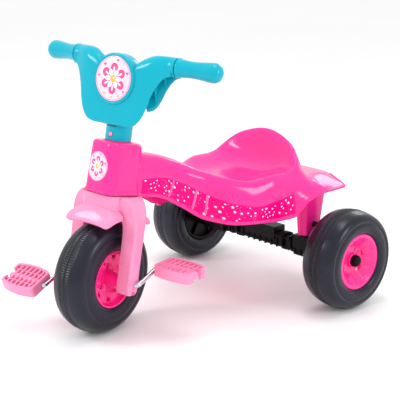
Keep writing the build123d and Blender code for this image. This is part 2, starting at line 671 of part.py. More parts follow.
def rear_beam():
    """The black beam: a square core with cross ribs, round flanges and raised end blocks."""
    length = 2 * BEAM_HALF_LENGTH
    beam = Box(length, BEAM_CORE, BEAM_CORE)
    count = int((BEAM_HALF_LENGTH - BEAM_END_BLOCK) / BEAM_RIB_PITCH)
    for i in range(-count, count + 1):
        beam += Pos(i * BEAM_RIB_PITCH, 0, 0) * Box(BEAM_RIB_THICKNESS, BEAM_RIB, BEAM_RIB - 6)
    for x in (-86.0, -16.0, 16.0, 86.0):
        beam += rod(BEAM_FLANGE_RADIUS, x - 4, x + 4)
    top = BEAM_TOP - REAR_TYRE_RADIUS
    for sign in SIDES.values():
        x = sign * (BEAM_HALF_LENGTH - BEAM_END_BLOCK / 2)
        beam += Pos(x, 0, top / 2) * Box(BEAM_END_BLOCK, BEAM_BLOCK_DEPTH, top)
        beam += rod(BEAM_FLANGE_RADIUS - 2, x - BEAM_END_BLOCK / 2, x + BEAM_END_BLOCK / 2)
    beam += Pos(0, 0, top / 2) * Box(82.0, BEAM_RIB - 4, top)
    return beam - rod(AXLE_RADIUS + RUNNING, -BEAM_HALF_LENGTH - 1, BEAM_HALF_LENGTH + 1)


def axle_end():
    """Half length of the rear axle, ending inside the caps."""
    return TRACK / 2 + REAR_FACE - CAP_LENGTH / 2


def axle_washer(side):
    outer = BEAM_HALF_LENGTH + SEAT + WASHER
    return on_side(ring(WASHER_RADIUS, AXLE_RADIUS + RUNNING, BEAM_HALF_LENGTH + SEAT, outer), side)


def axle_cap(side):
    """The black domed push-on cap on a rear axle end."""
    start = TRACK / 2 + REAR_FACE - CAP_LENGTH + SIDE_PLAY
    end = TRACK / 2 + REAR_FACE + 0.8
    cap = rod(CAP_RADIUS, start, end)
    cap = fillet(cap.edges().sort_by(Axis.X)[-1], CAP_RADIUS * 0.62)
    return on_side(cap - rod(AXLE_RADIUS + RUNNING, start - 1, axle_end() + SEAT), side)


def panel_sizes(station):
    """A panel station with its heights measured along the steering axis."""
    x, bottom, top, front, back = station
    return x, TOWER_TOP + bottom, TOWER_TOP + top, front, back


def channel(station):
    """A section of the handlebar panel: a channel open to the rear, in a plane of constant X."""
    x, bottom, top, front, back = panel_sizes(station)
    inner = front + PANEL_WALL
    points = [(back, top), (front + 5, top), (front, top - 6), (front, bottom + 6), (front + 5, bottom)]
    points += [(back, bottom), (back, bottom + PANEL_WALL), (inner + 3, bottom + PANEL_WALL)]
    points += [(inner, bottom + 8), (inner, top - 8), (inner + 3, top - PANEL_WALL)]
    points += [(back, top - PANEL_WALL)]
    return polygon([(x, d, s) for d, s in points])


def panel():
    right = [channel(s) for s in PANEL_STATIONS]
    left = [channel((-s[0], *s[1:])) for s in reversed(PANEL_STATIONS[1:])]
    return loft(left + right, ruled=True)


def grip_axis(side):
    """A plane at the grip's root with its normal along the grip."""
    root = Vector(side * GRIP_START, 0, GRIP_HEIGHT)
    tip = Vector(side * GRIP_REACH, GRIP_SWEEP_BACK, GRIP_HEIGHT)
    return Plane(origin=root, z_dir=tip - root), (tip - root).length


def arm_end(side):
    """The arm's round end: a socket ring and the core that carries the grip."""
    plane, length = grip_axis(side)
    block = plane * Pos(0, 0, -5.0) * Cylinder(GRIP_RADIUS, 10.0)
    core = plane * Pos(0, 0, length / 2 - 6) * Cylinder(GRIP_CORE_RADIUS, length - 12)
    return block + core


def panel_ribs():
    """Upright ribs inside the panel's channel."""
    ribs = []
    for station in PANEL_STATIONS[2:-1]:
        for sign in SIDES.values():
            x, bottom, top, front, back = panel_sizes(station)
            depth = back - front - PANEL_WALL
            height = top - bottom - PANEL_WALL
            plate = Box(2.0, depth, height)
            ribs.append(Pos(sign * x, back - depth / 2, (top + bottom) / 2) * plate)
    return ribs


def handlebar():
    """Shield panel, badge drum, stem collar and arms, moulded in one."""
    whole = panel()
    drum_depth = DRUM_BACK - DRUM_FRONT
    drum = Rotation(90, 0, 0) * Cylinder(DRUM_RADIUS, drum_depth)
    hollow = Rotation(90, 0, 0) * Cylinder(DRUM_RADIUS - PANEL_WALL, drum_depth)
    middle = (DRUM_BACK + DRUM_FRONT) / 2
    whole += Pos(0, middle, DRUM_CENTRE) * drum
    whole -= Pos(0, middle + PANEL_WALL, DRUM_CENTRE) * hollow
    for rib in panel_ribs():
        whole += rib
    height = COLLAR_TOP - COLLAR_BOTTOM
    whole += Pos(0, 0, (COLLAR_TOP + COLLAR_BOTTOM) / 2) * Cylinder(COLLAR_RADIUS, height)
    for sign in SIDES.values():
        whole += arm_end(sign)
    socket = STEM_TOP + SEAT - COLLAR_BOTTOM
    bore = Cylinder(STEM_RADIUS + RUNNING, socket + 1)
    whole -= Pos(0, 0, COLLAR_BOTTOM + (socket - 1) / 2) * bore
    button_hole = Cylinder(BUTTON_RADIUS + RUNNING, 2 * COLLAR_RADIUS - 20)
    whole -= Pos(0, -COLLAR_RADIUS, BUTTON_HEIGHT) * Rotation(90, 0, 0) * button_hole
    return whole


def grip(side):
    """A round-ended grip sleeve with a collar ring at its root."""
    plane, length = grip_axis(side)
    sleeve = Pos(0, 0, length / 2 + SEAT / 2) * Cylinder(GRIP_RADIUS, length - SEAT)
    sleeve = fillet(sleeve.edges().sort_by(Axis.Z)[-1], GRIP_RADIUS * 0.8)
    collar = Pos(0, 0, SEAT + 2.5) * Cylinder(GRIP_RADIUS + 1.5, 5.0)
    bore = Pos(0, 0, length / 2 - 6) * Cylinder(GRIP_CORE_RADIUS + RUNNING, length - 12 + 2 * SEAT)
    return plane * (sleeve + collar - bore)


def handlebar_badge():
    """The printed disc on the drum's front."""
    place = Pos(0, DRUM_FRONT - SEAT - BADGE_THICKNESS / 2, DRUM_CENTRE) * Rotation(90, 0, 0)
    return place * Cylinder(BADGE_RADIUS, BADGE_THICKNESS)


def lock_button():
    """The snap button through stem and collar, with a flange behind the stem wall."""
    back = -STEM_BORE + BUTTON_FLANGE + SIDE_PLAY
    front = -COLLAR_RADIUS - 0.6
    pin = Cylinder(BUTTON_RADIUS, back - front)
    pin = fillet(pin.edges().sort_by(Axis.Z)[-1], 1.2)
    return Pos(0, (back + front) / 2, BUTTON_HEIGHT) * Rotation(90, 0, 0) * pin


def lock_spring():
    """A bent steel leaf inside the stem, whose back leg bears on the bore."""
    height = 26.0
    leaf = Box(8.0, 0.6, height)
    seat = -STEM_BORE + BUTTON_FLANGE + BUTTON_TRAVEL + 3 * SIDE_PLAY
    back = math.sqrt(STEM_BORE**2 - 4.0**2) - 0.3 - SEAT
    spring = Pos(0, seat, BUTTON_HEIGHT) * leaf
    spring += Pos(0, back, BUTTON_HEIGHT) * leaf
    bridge = Box(8.0, back - seat, 0.6)
    spring += Pos(0, (back + seat) / 2, BUTTON_HEIGHT - height / 2) * bridge
    return spring


def build_frame():
    cavity = shell_cavity(1, len(SHELL_STATIONS))
    nodes["body_shell"] = body_shell(cavity)
    leg = rear_leg(cavity)
    bolt = leg_bolt()
    sticker = side_sticker()
    nodes["rear_beam"] = REAR_AXLE * rear_beam()
    nodes["rear_axle"] = REAR_AXLE * rod(AXLE_RADIUS, -axle_end(), axle_end())
    for side, sign in SIDES.items():
        nodes[f"rear_leg_{side}"] = on_side(leg, sign)
        nodes[f"leg_bolt_{side}"] = on_side(bolt, sign)
        nodes[f"side_sticker_{side}"] = on_side(sticker, sign)
        nodes[f"axle_washer_{side}"] = REAR_AXLE * axle_washer(sign)
        nodes[f"axle_cap_{side}"] = REAR_AXLE * axle_cap(sign)
    nodes["tower_bush_lower"] = STEERING * tower_bush(TOWER_BOTTOM, -1)
    nodes["tower_bush_upper"] = STEERING * tower_bush(TOWER_TOP, 1)
    nodes["tower_badge"] = STEERING * tower_badge()


def build_steering():
    nodes["fork"] = STEERED * fork()
    nodes["handlebar"] = STEERED * handlebar()
    nodes["handlebar_badge"] = STEERED * handlebar_badge()
    nodes["lock_button"] = STEERED * lock_button()
    nodes["lock_spring"] = STEERED * lock_spring()
    for side, sign in SIDES.items():
        nodes[f"grip_{side}"] = STEERED * grip(sign)
        nodes[f"fork_bush_{side}"] = STEERED * fork_bush(sign)


def build_front_wheel():
    front = tyre(FRONT_TYRE_RADIUS, FRONT_TYRE_WIDTH, FRONT_OPENING_RADIUS, FRONT_FACE)
    nodes["front_tyre"] = STEERED * front
    nodes["crank_rod"] = STEERED * crank_rod()
    nodes["hub_screws"] = STEERED * hub_screws()
    shape = pedal()
    for side, sign in SIDES.items():
        nodes[f"front_hub_{side}"] = STEERED * front_hub(sign)
        nodes[f"pedal_{side}"] = STEERED * pedal_place(sign) * on_side(shape, sign)
        nodes[f"pedal_cap_{side}"] = STEERED * pedal_cap(sign)


def build_rear_wheels():
    shape = tyre(REAR_TYRE_RADIUS, REAR_TYRE_WIDTH, REAR_OPENING_RADIUS, REAR_FACE)
    for side, sign in SIDES.items():
        place = REAR_AXLE * Pos(sign * TRACK / 2, 0, 0)
        nodes[f"rear_tyre_{side}"] = place * shape
        nodes[f"rear_hub_outer_{side}"] = place * rear_outer_hub(sign)
        nodes[f"rear_hub_inner_{side}"] = place * rear_inner_hub(sign)


def base_centre():
    """The middle of the whole object's box, on the floor."""
    boxes = [shape.bounding_box() for shape in nodes.values()]
    front = min(box.min.Y for box in boxes)
    back = max(box.max.Y for box in boxes)
    left = max(box.max.X for box in boxes)
    right = min(box.min.X for box in boxes)
    return Vector((left + right) / 2, (front + back) / 2, min(box.min.Z for box in boxes))


build_frame()
build_steering()
build_front_wheel()
build_rear_wheels()
to_base = Location(-base_centre())
for name, shape in nodes.items():
    export_step(to_base * shape, f"parts/{name}.step")
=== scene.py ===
import bmesh
import bpy
import json
from math import atan2, ceil, copysign, cos, degrees, hypot, pi, radians, sin, sqrt, tan
import random
from mathutils import Matrix, Vector


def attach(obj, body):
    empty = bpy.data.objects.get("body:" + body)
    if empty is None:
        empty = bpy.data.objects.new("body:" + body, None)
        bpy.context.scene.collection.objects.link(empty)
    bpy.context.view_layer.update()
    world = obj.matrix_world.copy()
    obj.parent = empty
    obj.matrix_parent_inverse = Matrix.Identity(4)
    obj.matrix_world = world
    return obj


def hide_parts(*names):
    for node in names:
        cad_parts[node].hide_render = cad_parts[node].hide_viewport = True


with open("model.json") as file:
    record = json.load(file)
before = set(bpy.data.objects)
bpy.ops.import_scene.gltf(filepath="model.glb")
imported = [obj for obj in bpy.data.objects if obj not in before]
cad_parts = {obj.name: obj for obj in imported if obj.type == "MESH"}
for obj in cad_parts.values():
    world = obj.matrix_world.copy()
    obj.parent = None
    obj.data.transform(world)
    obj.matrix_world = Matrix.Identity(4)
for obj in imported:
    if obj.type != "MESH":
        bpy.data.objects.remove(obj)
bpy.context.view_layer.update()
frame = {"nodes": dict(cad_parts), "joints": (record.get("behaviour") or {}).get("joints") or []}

# ---- places, sizes in millimetres
MM = 0.001
JOINTS = {joint["name"]: joint for joint in frame["joints"]}
RAKE = 10.0
TURN = 12.0
SCALE = Matrix.Scale(MM, 4)
SIDES = {"left": 1, "right": -1}
TILTS = {"left": 10.0, "right": 31.0}
CRANK = 64.0
CRANK_ANGLE = radians(28.5)
PEDAL_OUT = 122.0
SCREW_CIRCLE = 27.0
SHELL_WALL = 3.2
TOWER_CORNER = 22.0
DRUM_HEIGHT = 341.0
BUTTON_HEIGHT = 248.0
TOWER_BADGE_HEIGHT = 192.0


def turn(angle, axis):
    """A rotation by an angle in degrees."""
    return Matrix.Rotation(radians(angle), 4, axis)


def link(obj):
    bpy.context.scene.collection.objects.link(obj)
    return obj


AXLE = Vector(JOINTS["front_wheel_spin"]["pos_m"])
TOWER = Matrix.Translation(AXLE) @ turn(-RAKE, "X") @ SCALE
STEER = Matrix.Translation(AXLE) @ turn(-RAKE, "X") @ turn(TURN, "Z") @ SCALE
BODY = Matrix.Translation((0, AXLE.y, 0)) @ SCALE
REAR = {s: Matrix.Translation(JOINTS[f"rear_wheel_{s}_spin"]["pos_m"]) @ SCALE for s in SIDES}
REAR_Y = (REAR["left"].translation.y - AXLE.y) / MM
REAR_Z = REAR["left"].translation.z / MM


# ---- materials
def linear(code):
    """A hex colour as linear red, green and blue."""
    parts = [int(code[i:i + 2], 16) / 255 for i in (0, 2, 4)]
    return tuple(c / 12.92 if c <= 0.04045 else ((c + 0.055) / 1.055) ** 2.4 for c in parts) + (1,)


def tone(colour, share):
    """The colour made lighter or darker by a share."""
    return tuple(min(1, c * share) for c in colour[:3]) + (1,)


def noise(nodes, coords, scale, detail, links, stretch=None):
    """Noise in the piece's own coordinates, stretched along an axis where asked."""
    source = coords.outputs["Object"]
    if stretch:
        mapping = nodes.new("ShaderNodeMapping")
        mapping.inputs["Scale"].default_value = stretch
        links.new(source, mapping.inputs["Vector"])
        source = mapping.outputs["Vector"]
    made = nodes.new("ShaderNodeTexNoise")
    made.inputs["Scale"].default_value = scale
    made.inputs["Detail"].default_value = detail
    links.new(source, made.inputs["Vector"])
    return made.outputs["Fac"]


def ramp(nodes, links, factor, stops):
    made = nodes.new("ShaderNodeValToRGB")
    made.color_ramp.elements[0].position = stops[0][0]
    made.color_ramp.elements[0].color = stops[0][1]
    made.color_ramp.elements[1].position = stops[-1][0]
    made.color_ramp.elements[1].color = stops[-1][1]
    for place, colour in stops[1:-1]:
        made.color_ramp.elements.new(place).color = colour
    links.new(factor, made.inputs["Fac"])
    return made.outputs["Color"]


def spread(nodes, links, factor, low, high, start=0.3, end=0.7):
    """The factor's range from start to end, mapped to low to high."""
    made = nodes.new("ShaderNodeMapRange")
    made.inputs["From Min"].default_value = start
    made.inputs["From Max"].default_value = end
    made.inputs["To Min"].default_value = low
    made.inputs["To Max"].default_value = high
    links.new(factor, made.inputs["Value"])
    return made.outputs["Result"]


def finish(name, code, rough, metal=0.0, coat=0.0, sheen=0.04, grain=220.0, bump=0.05, scuff=0.1,
           patch=9.0, specular=0.5):
    """A moulded or plated surface: cloudy colour, uneven gloss, fine grain and long faint scuffs."""
    made = bpy.data.materials.new(name)
    made.use_nodes = True
    nodes, links = made.node_tree.nodes, made.node_tree.links
    shader = nodes["Principled BSDF"]
    colour = linear(code)
    made.diffuse_color = colour
    coords = nodes.new("ShaderNodeTexCoord")
    cloud = noise(nodes, coords, patch, 3.0, links)
    stops = [(0.3, tone(colour, 1 - sheen)), (0.7, tone(colour, 1 + sheen))]
    links.new(ramp(nodes, links, cloud, stops), shader.inputs["Base Color"])
    scratches = noise(nodes, coords, 60.0, 6.0, links, stretch=(1.0, 0.12, 3.2))
    uneven = spread(nodes, links, cloud, rough * 0.85, rough * 1.15)
    worn = spread(nodes, links, scratches, 0.0, scuff, 0.62, 0.74)
    total = nodes.new("ShaderNodeMath")
    total.operation = "ADD"
    links.new(uneven, total.inputs[0])
    links.new(worn, total.inputs[1])
    links.new(total.outputs["Value"], shader.inputs["Roughness"])
    fine = noise(nodes, coords, grain, 2.0, links)
    relief = nodes.new("ShaderNodeBump")
    relief.inputs["Strength"].default_value = bump
    relief.inputs["Distance"].default_value = 0.0006
    links.new(fine, relief.inputs["Height"])
    links.new(relief.outputs["Normal"], shader.inputs["Normal"])
    shader.inputs["Metallic"].default_value = metal
    shader.inputs["Coat Weight"].default_value = coat
    shader.inputs["Coat Roughness"].default_value = 0.08
    shader.inputs["Specular IOR Level"].default_value = specular
    return made


PINK = finish("pink_shell", "FF3294", 0.15, coat=0.15, specular=0.25)
# A darker copy of the shell's pink: painted shade on the rear posts and on the gusset under the neck.
SHADED_PINK = finish("pink_leg_painted_shade", "FF2093", 0.24, coat=0.1, specular=0.25)
PALE = finish("pale_pink", "FF92BC", 0.26, coat=0.12, specular=0.3)
HUB = finish("hub_pink", "FF1F8E", 0.24, coat=0.25)
TEAL = finish("teal", "00AAC0", 0.17, coat=0.1, specular=0.2)
# Dark teal: painted shade in the gaps around the lock button and under the panel's front edge.
TEAL_DARK = finish("teal_shadow", "00606E", 0.4)
TYRE = finish("tyre", "101322", 0.28, specular=0.36, grain=500.0, bump=0.12, sheen=0.1, scuff=0.16)
BLACK = finish("black_plastic", "050507", 0.36, specular=0.14, bump=0.1, sheen=0.15)
BUSH = finish("bush_plastic", "D8D6CC", 0.42)
STEEL = finish("zinc_steel", "C9CED4", 0.2, metal=1.0, sheen=0.08, scuff=0.2, grain=700.0)
BUTTON = finish("button_pink", "FF8FBE", 0.25, coat=0.2)
STICKER = finish("sticker_pink", "F8007E", 0.3, specular=0.12, grain=900.0)
# A lighter pink for the side ribs: painted highlight along ridges moulded in the shell's own pink.
RIB_HIGHLIGHT_PINK = finish("rib_pink_painted_highlight", "FF6AAE", 0.2, coat=0.2, specular=0.3)
STAR = finish("sticker_white", "FFF4FA", 0.3, grain=900.0)
STAR_SOFT = finish("sticker_star_pink", "FF6FB6", 0.3, grain=900.0)
BADGE_PRINT = [finish(f"badge_{name}", code, rough, coat=0.3, grain=900.0) for name, code, rough in (
    ("pale", "F8D3E4", 0.24), ("white", "FBF6FB", 0.24), ("pink", "FA4F97", 0.24), ("deep", "D92C78", 0.24),
    ("gold", "F5B62A", 0.26))]
PALE_INK, WHITE_INK, PINK_INK, DEEP_INK, GOLD_INK = range(5)


# ---- mesh helpers
def joined(name, parts, place):
    """One mesh from (verts, faces, ...) parts given in millimetres in the place's frame."""
    verts, faces = [], []
    for part in parts:
        first = len(verts)
        verts += [place @ Vector(v) for v in part[0]]
        faces += [tuple(first + i for i in face) for face in part[1]]
    mesh = bpy.data.meshes.new(name)
    mesh.from_pydata(verts, [], faces)
    return mesh


def piece(name, parts, place, body, materials, replaces=(), sharp=34.0, weld=True):
    """One object from (verts, faces[, material index]) parts, on its body, with the CAD parts it replaces
    hidden.
    """
    mesh = joined(name, parts, place)
    inks = []
    for part in parts:
        inks += [part[2] if len(part) > 2 else 0] * len(part[1])
    mesh.polygons.foreach_set("material_index", inks)
    work = bmesh.new()
    work.from_mesh(mesh)
    if weld:
        bmesh.ops.remove_doubles(work, verts=work.verts, dist=2e-6)
        bmesh.ops.dissolve_degenerate(work, dist=1e-7, edges=work.edges)
    bmesh.ops.recalc_face_normals(work, faces=work.faces)
    work.to_mesh(mesh)
    work.free()
    for material in materials:
        mesh.materials.append(material)
    mesh.shade_smooth()
    mesh.set_sharp_from_angle(angle=radians(sharp))
    made = link(bpy.data.objects.new(name, mesh))
    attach(made, body)
    if replaces:
        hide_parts(*replaces)
    return made


def bevel(obj, width, segments=2, angle=38.0):
    made = obj.modifiers.new("edges", "BEVEL")
    made.width = width * MM
    made.segments = segments
    made.limit_method = "ANGLE"
    made.angle_limit = radians(angle)
    made.harden_normals = False


def thicken(obj, wall):
    """Gives an open skin a wall on its inner side."""
    made = obj.modifiers.new("wall", "SOLIDIFY")
    made.thickness = wall * MM
    made.offset = -1.0


def skin(loops, closed=True, back=False, start=False, end=False):
    """Quads between neighbouring loops of points."""
    n = len(loops[0])
    verts = [p for loop in loops for p in loop]
    faces = []
    for i in range(len(loops) if back else len(loops) - 1):
        a, b = i * n, ((i + 1) % len(loops)) * n
        for j in range(n if closed else n - 1):
            k = (j + 1) % n
            faces.append((a + j, a + k, b + k, b + j))
    if start:
        faces.append(tuple(range(n)))
    if end:
        faces.append(tuple(reversed(range((len(loops) - 1) * n, len(loops) * n))))
    return verts, faces


def moved(part, matrix):
    return ([tuple(matrix @ Vector(v)) for v in part[0]], *part[1:])


def flipped(part):
    """The part's mirror image across x = 0."""
    return ([(-x, y, z) for x, y, z in part[0]], [tuple(reversed(f)) for f in part[1]], *part[2:])


def on_side(part, side):
    return part if side > 0 else flipped(part)


def lathe(profile, steps, closed=False):
    """A profile of (along, radius) points turned about the X axis."""
    angles = [2 * pi * k / steps for k in range(steps)]
    loops = [[(x, r * sin(t), r * cos(t)) for t in angles] for x, r in profile]
    return skin(loops, back=closed)


ALONG_Z = turn(-90, "Y")
ALONG_Y = turn(90, "Z")


def block(low, high):
    """A box between its low and its high corner."""
    (x0, y0, z0), (x1, y1, z1) = low, high
    verts = [(x, y, z) for x in (x0, x1) for y in (y0, y1) for z in (z0, z1)]
    faces = [(0, 1, 3, 2), (4, 6, 7, 5), (0, 4, 5, 1), (2, 3, 7, 6), (0, 2, 6, 4), (1, 5, 7, 3)]
    return verts, faces


def curve(points, per):
    """A centripetal Catmull-Rom line through points, with per steps between neighbours."""
    pts = [Vector(p) for p in points]
    ends = [2 * pts[0] - pts[1], *pts, 2 * pts[-1] - pts[-2]]
    out = []
    for i in range(1, len(ends) - 2):
        p0, p1, p2, p3 = ends[i - 1:i + 3]
        t1 = max((p1 - p0).length, 1e-6) ** 0.5
        t2 = t1 + max((p2 - p1).length, 1e-6) ** 0.5
        t3 = t2 + max((p3 - p2).length, 1e-6) ** 0.5
        for k in range(per):
            t = t1 + (t2 - t1) * k / per
            a1 = p0 * ((t1 - t) / t1) + p1 * (t / t1)
            a2 = p1 * ((t2 - t) / (t2 - t1)) + p2 * ((t - t1) / (t2 - t1))
            a3 = p2 * ((t3 - t) / (t3 - t2)) + p3 * ((t - t2) / (t3 - t2))
            b1 = a1 * ((t2 - t) / t2) + a2 * (t / t2)
            b2 = a2 * ((t3 - t) / (t3 - t1)) + a3 * ((t - t1) / (t3 - t1))
            out.append(b1 * ((t2 - t) / (t2 - t1)) + b2 * ((t - t1) / (t2 - t1)))
    return out + [pts[-1]]


def slopes(xs, ys):
    """Monotone slopes, so that a curve through the values never overshoots them."""
    step = [(ys[i + 1] - ys[i]) / (xs[i + 1] - xs[i]) for i in range(len(xs) - 1)]
    out = [step[0]]
    for a, b in zip(step, step[1:]):
        out.append(0.0 if a * b <= 0 else 2 * a * b / (a + b))
    return out + [step[-1]]


def value(xs, ys, tangents, x):
    """The cubic Hermite curve through the values, at x."""
    i = max(0, min(len(xs) - 2, sum(1 for v in xs if v <= x) - 1))
    h = xs[i + 1] - xs[i]
    t = (x - xs[i]) / h
    return (ys[i] * (1 + 2 * t) * (1 - t) ** 2 + ys[i + 1] * t * t * (3 - 2 * t)
            + h * t * (1 - t) * (tangents[i] * (1 - t) - tangents[i + 1] * t))


def ease(t):
    """Zero to one with level ends, held beyond them."""
    t = max(0.0, min(1.0, t))
    return t * t * (3 - 2 * t)


def table(rows):
    """A function of the first column that follows the other columns smoothly."""
    xs = [row[0] for row in rows]
    columns = [[row[i] for row in rows] for i in range(1, len(rows[0]))]
    tangents = [slopes(xs, ys) for ys in columns]
    return lambda x: [value(xs, ys, m, x) for ys, m in zip(columns, tangents)]


def rounded(half_x, half_y, corner, steps=10):
    """A rounded rectangle about the origin, counter-clockwise from the middle of its +X side."""
    out = []
    for sx, sy, start in ((1, 1, 0), (-1, 1, 90), (-1, -1, 180), (1, -1, 270)):
        for k in range(steps + 1):
            t = radians(start + 90 * k / steps)
            out.append((sx * (half_x - corner) + corner * cos(t),
                        sy * (half_y - corner) + corner * sin(t)))
    return out


def pocketed(part, groups):
    """The part with groups of its faces pushed in; each group is (face numbers, move)."""
    work = bmesh.new()
    made = [work.verts.new(v) for v in part[0]]
    faces = []
    for face in part[1]:
        faces.append(work.faces.new([made[i] for i in face]) if len(set(face)) > 2 else None)
    for numbers, move in groups:
        region = bmesh.ops.extrude_face_region(work, geom=[faces[i] for i in numbers])
        tops = [item for item in region["geom"] if isinstance(item, bmesh.types.BMVert)]
        bmesh.ops.translate(work, verts=tops, vec=move)
        bmesh.ops.delete(work, geom=[faces[i] for i in numbers], context="FACES")
    work.verts.index_update()
    verts = [tuple(v.co) for v in work.verts]
    out = [tuple(v.index for v in f.verts) for f in work.faces]
    work.free()
    return verts, out


def cut(obj, cutter_parts, place):
    """Takes closed shapes out of an object for good."""
    mesh = joined("cutter", cutter_parts, place)
    work = bmesh.new()
    work.from_mesh(mesh)
    bmesh.ops.remove_doubles(work, verts=work.verts, dist=2e-6)
    bmesh.ops.recalc_face_normals(work, faces=work.faces)
    work.to_mesh(mesh)
    work.free()
    tool = link(bpy.data.objects.new("cutter", mesh))
    modifier = obj.modifiers.new("cut", "BOOLEAN")
    modifier.operation = "DIFFERENCE"
    modifier.solver = "EXACT"
    modifier.use_self = True
    modifier.object = tool
    bpy.context.view_layer.update()
    graph = bpy.context.evaluated_depsgraph_get()
    done = bpy.data.meshes.new_from_object(obj.evaluated_get(graph))
    obj.modifiers.clear()
    obj.data = done
    obj.data.shade_smooth()
    obj.data.set_sharp_from_angle(angle=radians(34))
    bpy.data.objects.remove(tool)


# ---- wheels
# Half a tyre's profile from crown to bead: shares of the half width and of the sidewall's depth.
TYRE_SHAPE = [(0.0, 1.0), (0.25, 0.991), (0.5, 0.948), (0.7, 0.89), (0.85, 0.80), (0.935, 0.69),
              (0.958, 0.61), (0.938, 0.545), (0.936, 0.505), (0.965, 0.455), (0.985, 0.38), (0.985, 0.26),
              (0.967, 0.15), (0.93, 0.06)]
GROOVE_STEPS = 4
GROOVES = 144


def tyre_line(radius, half, opening, face):
    """Half the outer profile from the crown to the bead as (distance along it, x, r)."""
    depth = radius - 0.6 - opening
    points = [(x * half, opening + share * depth, 0) for x, share in TYRE_SHAPE]
    points += [(face + 1.6, opening + 0.4, 0), (face, opening - 0.8, 0)]
    dense = curve(points, 14)
    total, out = 0.0, [(0.0, dense[0].x, dense[0].y)]
    for a, b in zip(dense, dense[1:]):
        total += (b - a).length
        out.append((total, b.x, b.y))
    return out


def along(line, s):
    for (s0, x0, r0), (s1, x1, r1) in zip(line, line[1:]):
        if s <= s1:
            t = (s - s0) / (s1 - s0)
            return x0 + t * (x1 - x0), r0 + t * (r1 - r0)
    return line[-1][1:]


def mark_steps(seed):
    """The angular steps that carry raised bars: plain hash marks in four spaced groups a side."""
    dice = random.Random(seed)
    steps = GROOVES * GROOVE_STEPS
    lit = set()
    for group in range(4):
        at = int(steps * (group + 0.18) / 4)
        for _ in range(7):
            at += dice.choice((7, 8, 9))
            lit.update({at, at + 1, at + 2})
    return lit


def tyre(radius, width, opening, face, seed):
    half = width / 2
    line = tyre_line(radius, half, opening, face)
    depth = radius - opening
    crown = [0.0, 0.45, 0.95, 1.5, 2.1, 4.0, 6.5, 9.0, 9.6, 11.5]
    stops = [s for s in (line[-1][0] * k / 46 for k in range(47)) if s > 13]
    inner = [(face - 5, opening - 1), (half - 5.5, opening + 0.32 * depth),
             (0.8 * (half - 5.5), opening + 0.72 * depth), (0.3 * half, radius - 6.0)]
    steps = GROOVES * GROOVE_STEPS
    lit = {1: mark_steps(seed), -1: mark_steps(seed + 1)}
    low, high = opening + 0.17 * depth, opening + 0.37 * depth
    angles = [2 * pi * k / steps for k in range(steps)]

    def ring(s, side):
        x, r = along(line, s)
        side_marks = x > 0.9 * half and low < r < high
        out = []
        for k, t in enumerate(angles):
            dx = dr = 0.0
            if s < 0.5:
                dr = 0.55 if s == 0 else 0.2
            elif s < 2:
                dr = -0.35
            elif s < 9.5 and k % GROOVE_STEPS > 1:
                dr = -1.0
            if side_marks and k in lit[side]:
                dx = 0.75
            out.append((side * min(x + dx, half), (r + dr) * sin(t), (r + dr) * cos(t)))
        return out

    order = [(s, -1) for s in reversed(stops)] + [(s, -1) for s in reversed(crown[1:])]
    order += [(s, 1) for s in crown] + [(s, 1) for s in stops]
    loops = [ring(s, side) for s, side in order]
    loops += [[(x, r * sin(t), r * cos(t)) for t in angles] for x, r in inner]
    loops += [[(-x, r * sin(t), r * cos(t)) for t in angles] for x, r in reversed(inner)]
    return skin(loops, back=True)


def plate_faces(n, rows, wedges):
    """Face numbers of a lathed part between profile rows, over ranges of angular steps."""
    return [[i * n + (j % n) for i in rows for j in range(a, b)] for a, b in wedges]


# How far the hub face lies from the wheel's middle plane, and the tyres' radius, width and opening.
FRONT_FACE = 29.0
REAR_FACE = 30.5
FRONT_TYRE = (100.0, 70.0, 52.0, FRONT_FACE)
REAR_TYRE = (92.5, 75.0, 53.0, REAR_FACE)


def from_face(face, points):
    """Profile points given as distances beyond a hub face."""
    return [(face + x, r) for x, r in points]


def front_hub(side):
    """A front hub half: rim lip, dished annulus with eight stepped windows, boss and screw posts."""
    n = 192
    rim = [(-9.0, 47.0), (0.2, 47.6), (0.9, 48.4), (1.0, 50.4), (0.3, 51.0), (-4.9, 51.0), (-4.9, 47.4)]
    boss = [(0.3, 47.4), (0.3, 5.0), (42.4, 5.0), (42.7, 5.4), (42.7, 9.6), (42.2, 10.2)]
    dish = [(-15.6, 13.2), (-16.0, 14.4), (-15.2, 17.0), (-12.4, 21.0), (-11.0, 24.5), (-10.4, 28.0),
            (-9.9, 32.0), (-9.2, 35.2), (-8.4, 41.6), (-8.2, 45.6)]
    part = lathe(from_face(FRONT_FACE, rim) + boss + from_face(FRONT_FACE, dish), n, closed=True)
    half = round(n * 4.6 / (2 * pi * 38.4))
    windows = plate_faces(n, [20], [(n * k // 8 - half, n * k // 8 + half) for k in range(8)])
    small = plate_faces(n, [19], [(n * k // 8 + half - 2, n * k // 8 + half) for k in range(8)])
    part = pocketed(part, [(g, (-7.0, 0, 0)) for g in windows] + [(g, (-2.5, 0, 0)) for g in small])
    ribs = [moved(block((6.2, 11.0, -1.4), (15.0, 27.0, 1.4)), turn(45 + 90 * k, "X")) for k in range(4)]
    post = lathe([(6.0, 4.6), (FRONT_FACE - 9.4, 4.2), (FRONT_FACE - 8.7, 3.6)], 28)
    out = Matrix.Translation((0, 0, SCREW_CIRCLE))
    posts = [moved(post, turn(degrees(CRANK_ANGLE) + 90 * k, "X") @ out) for k in range(4)]
    return [on_side(p, side) for p in [part, *ribs, *posts]]


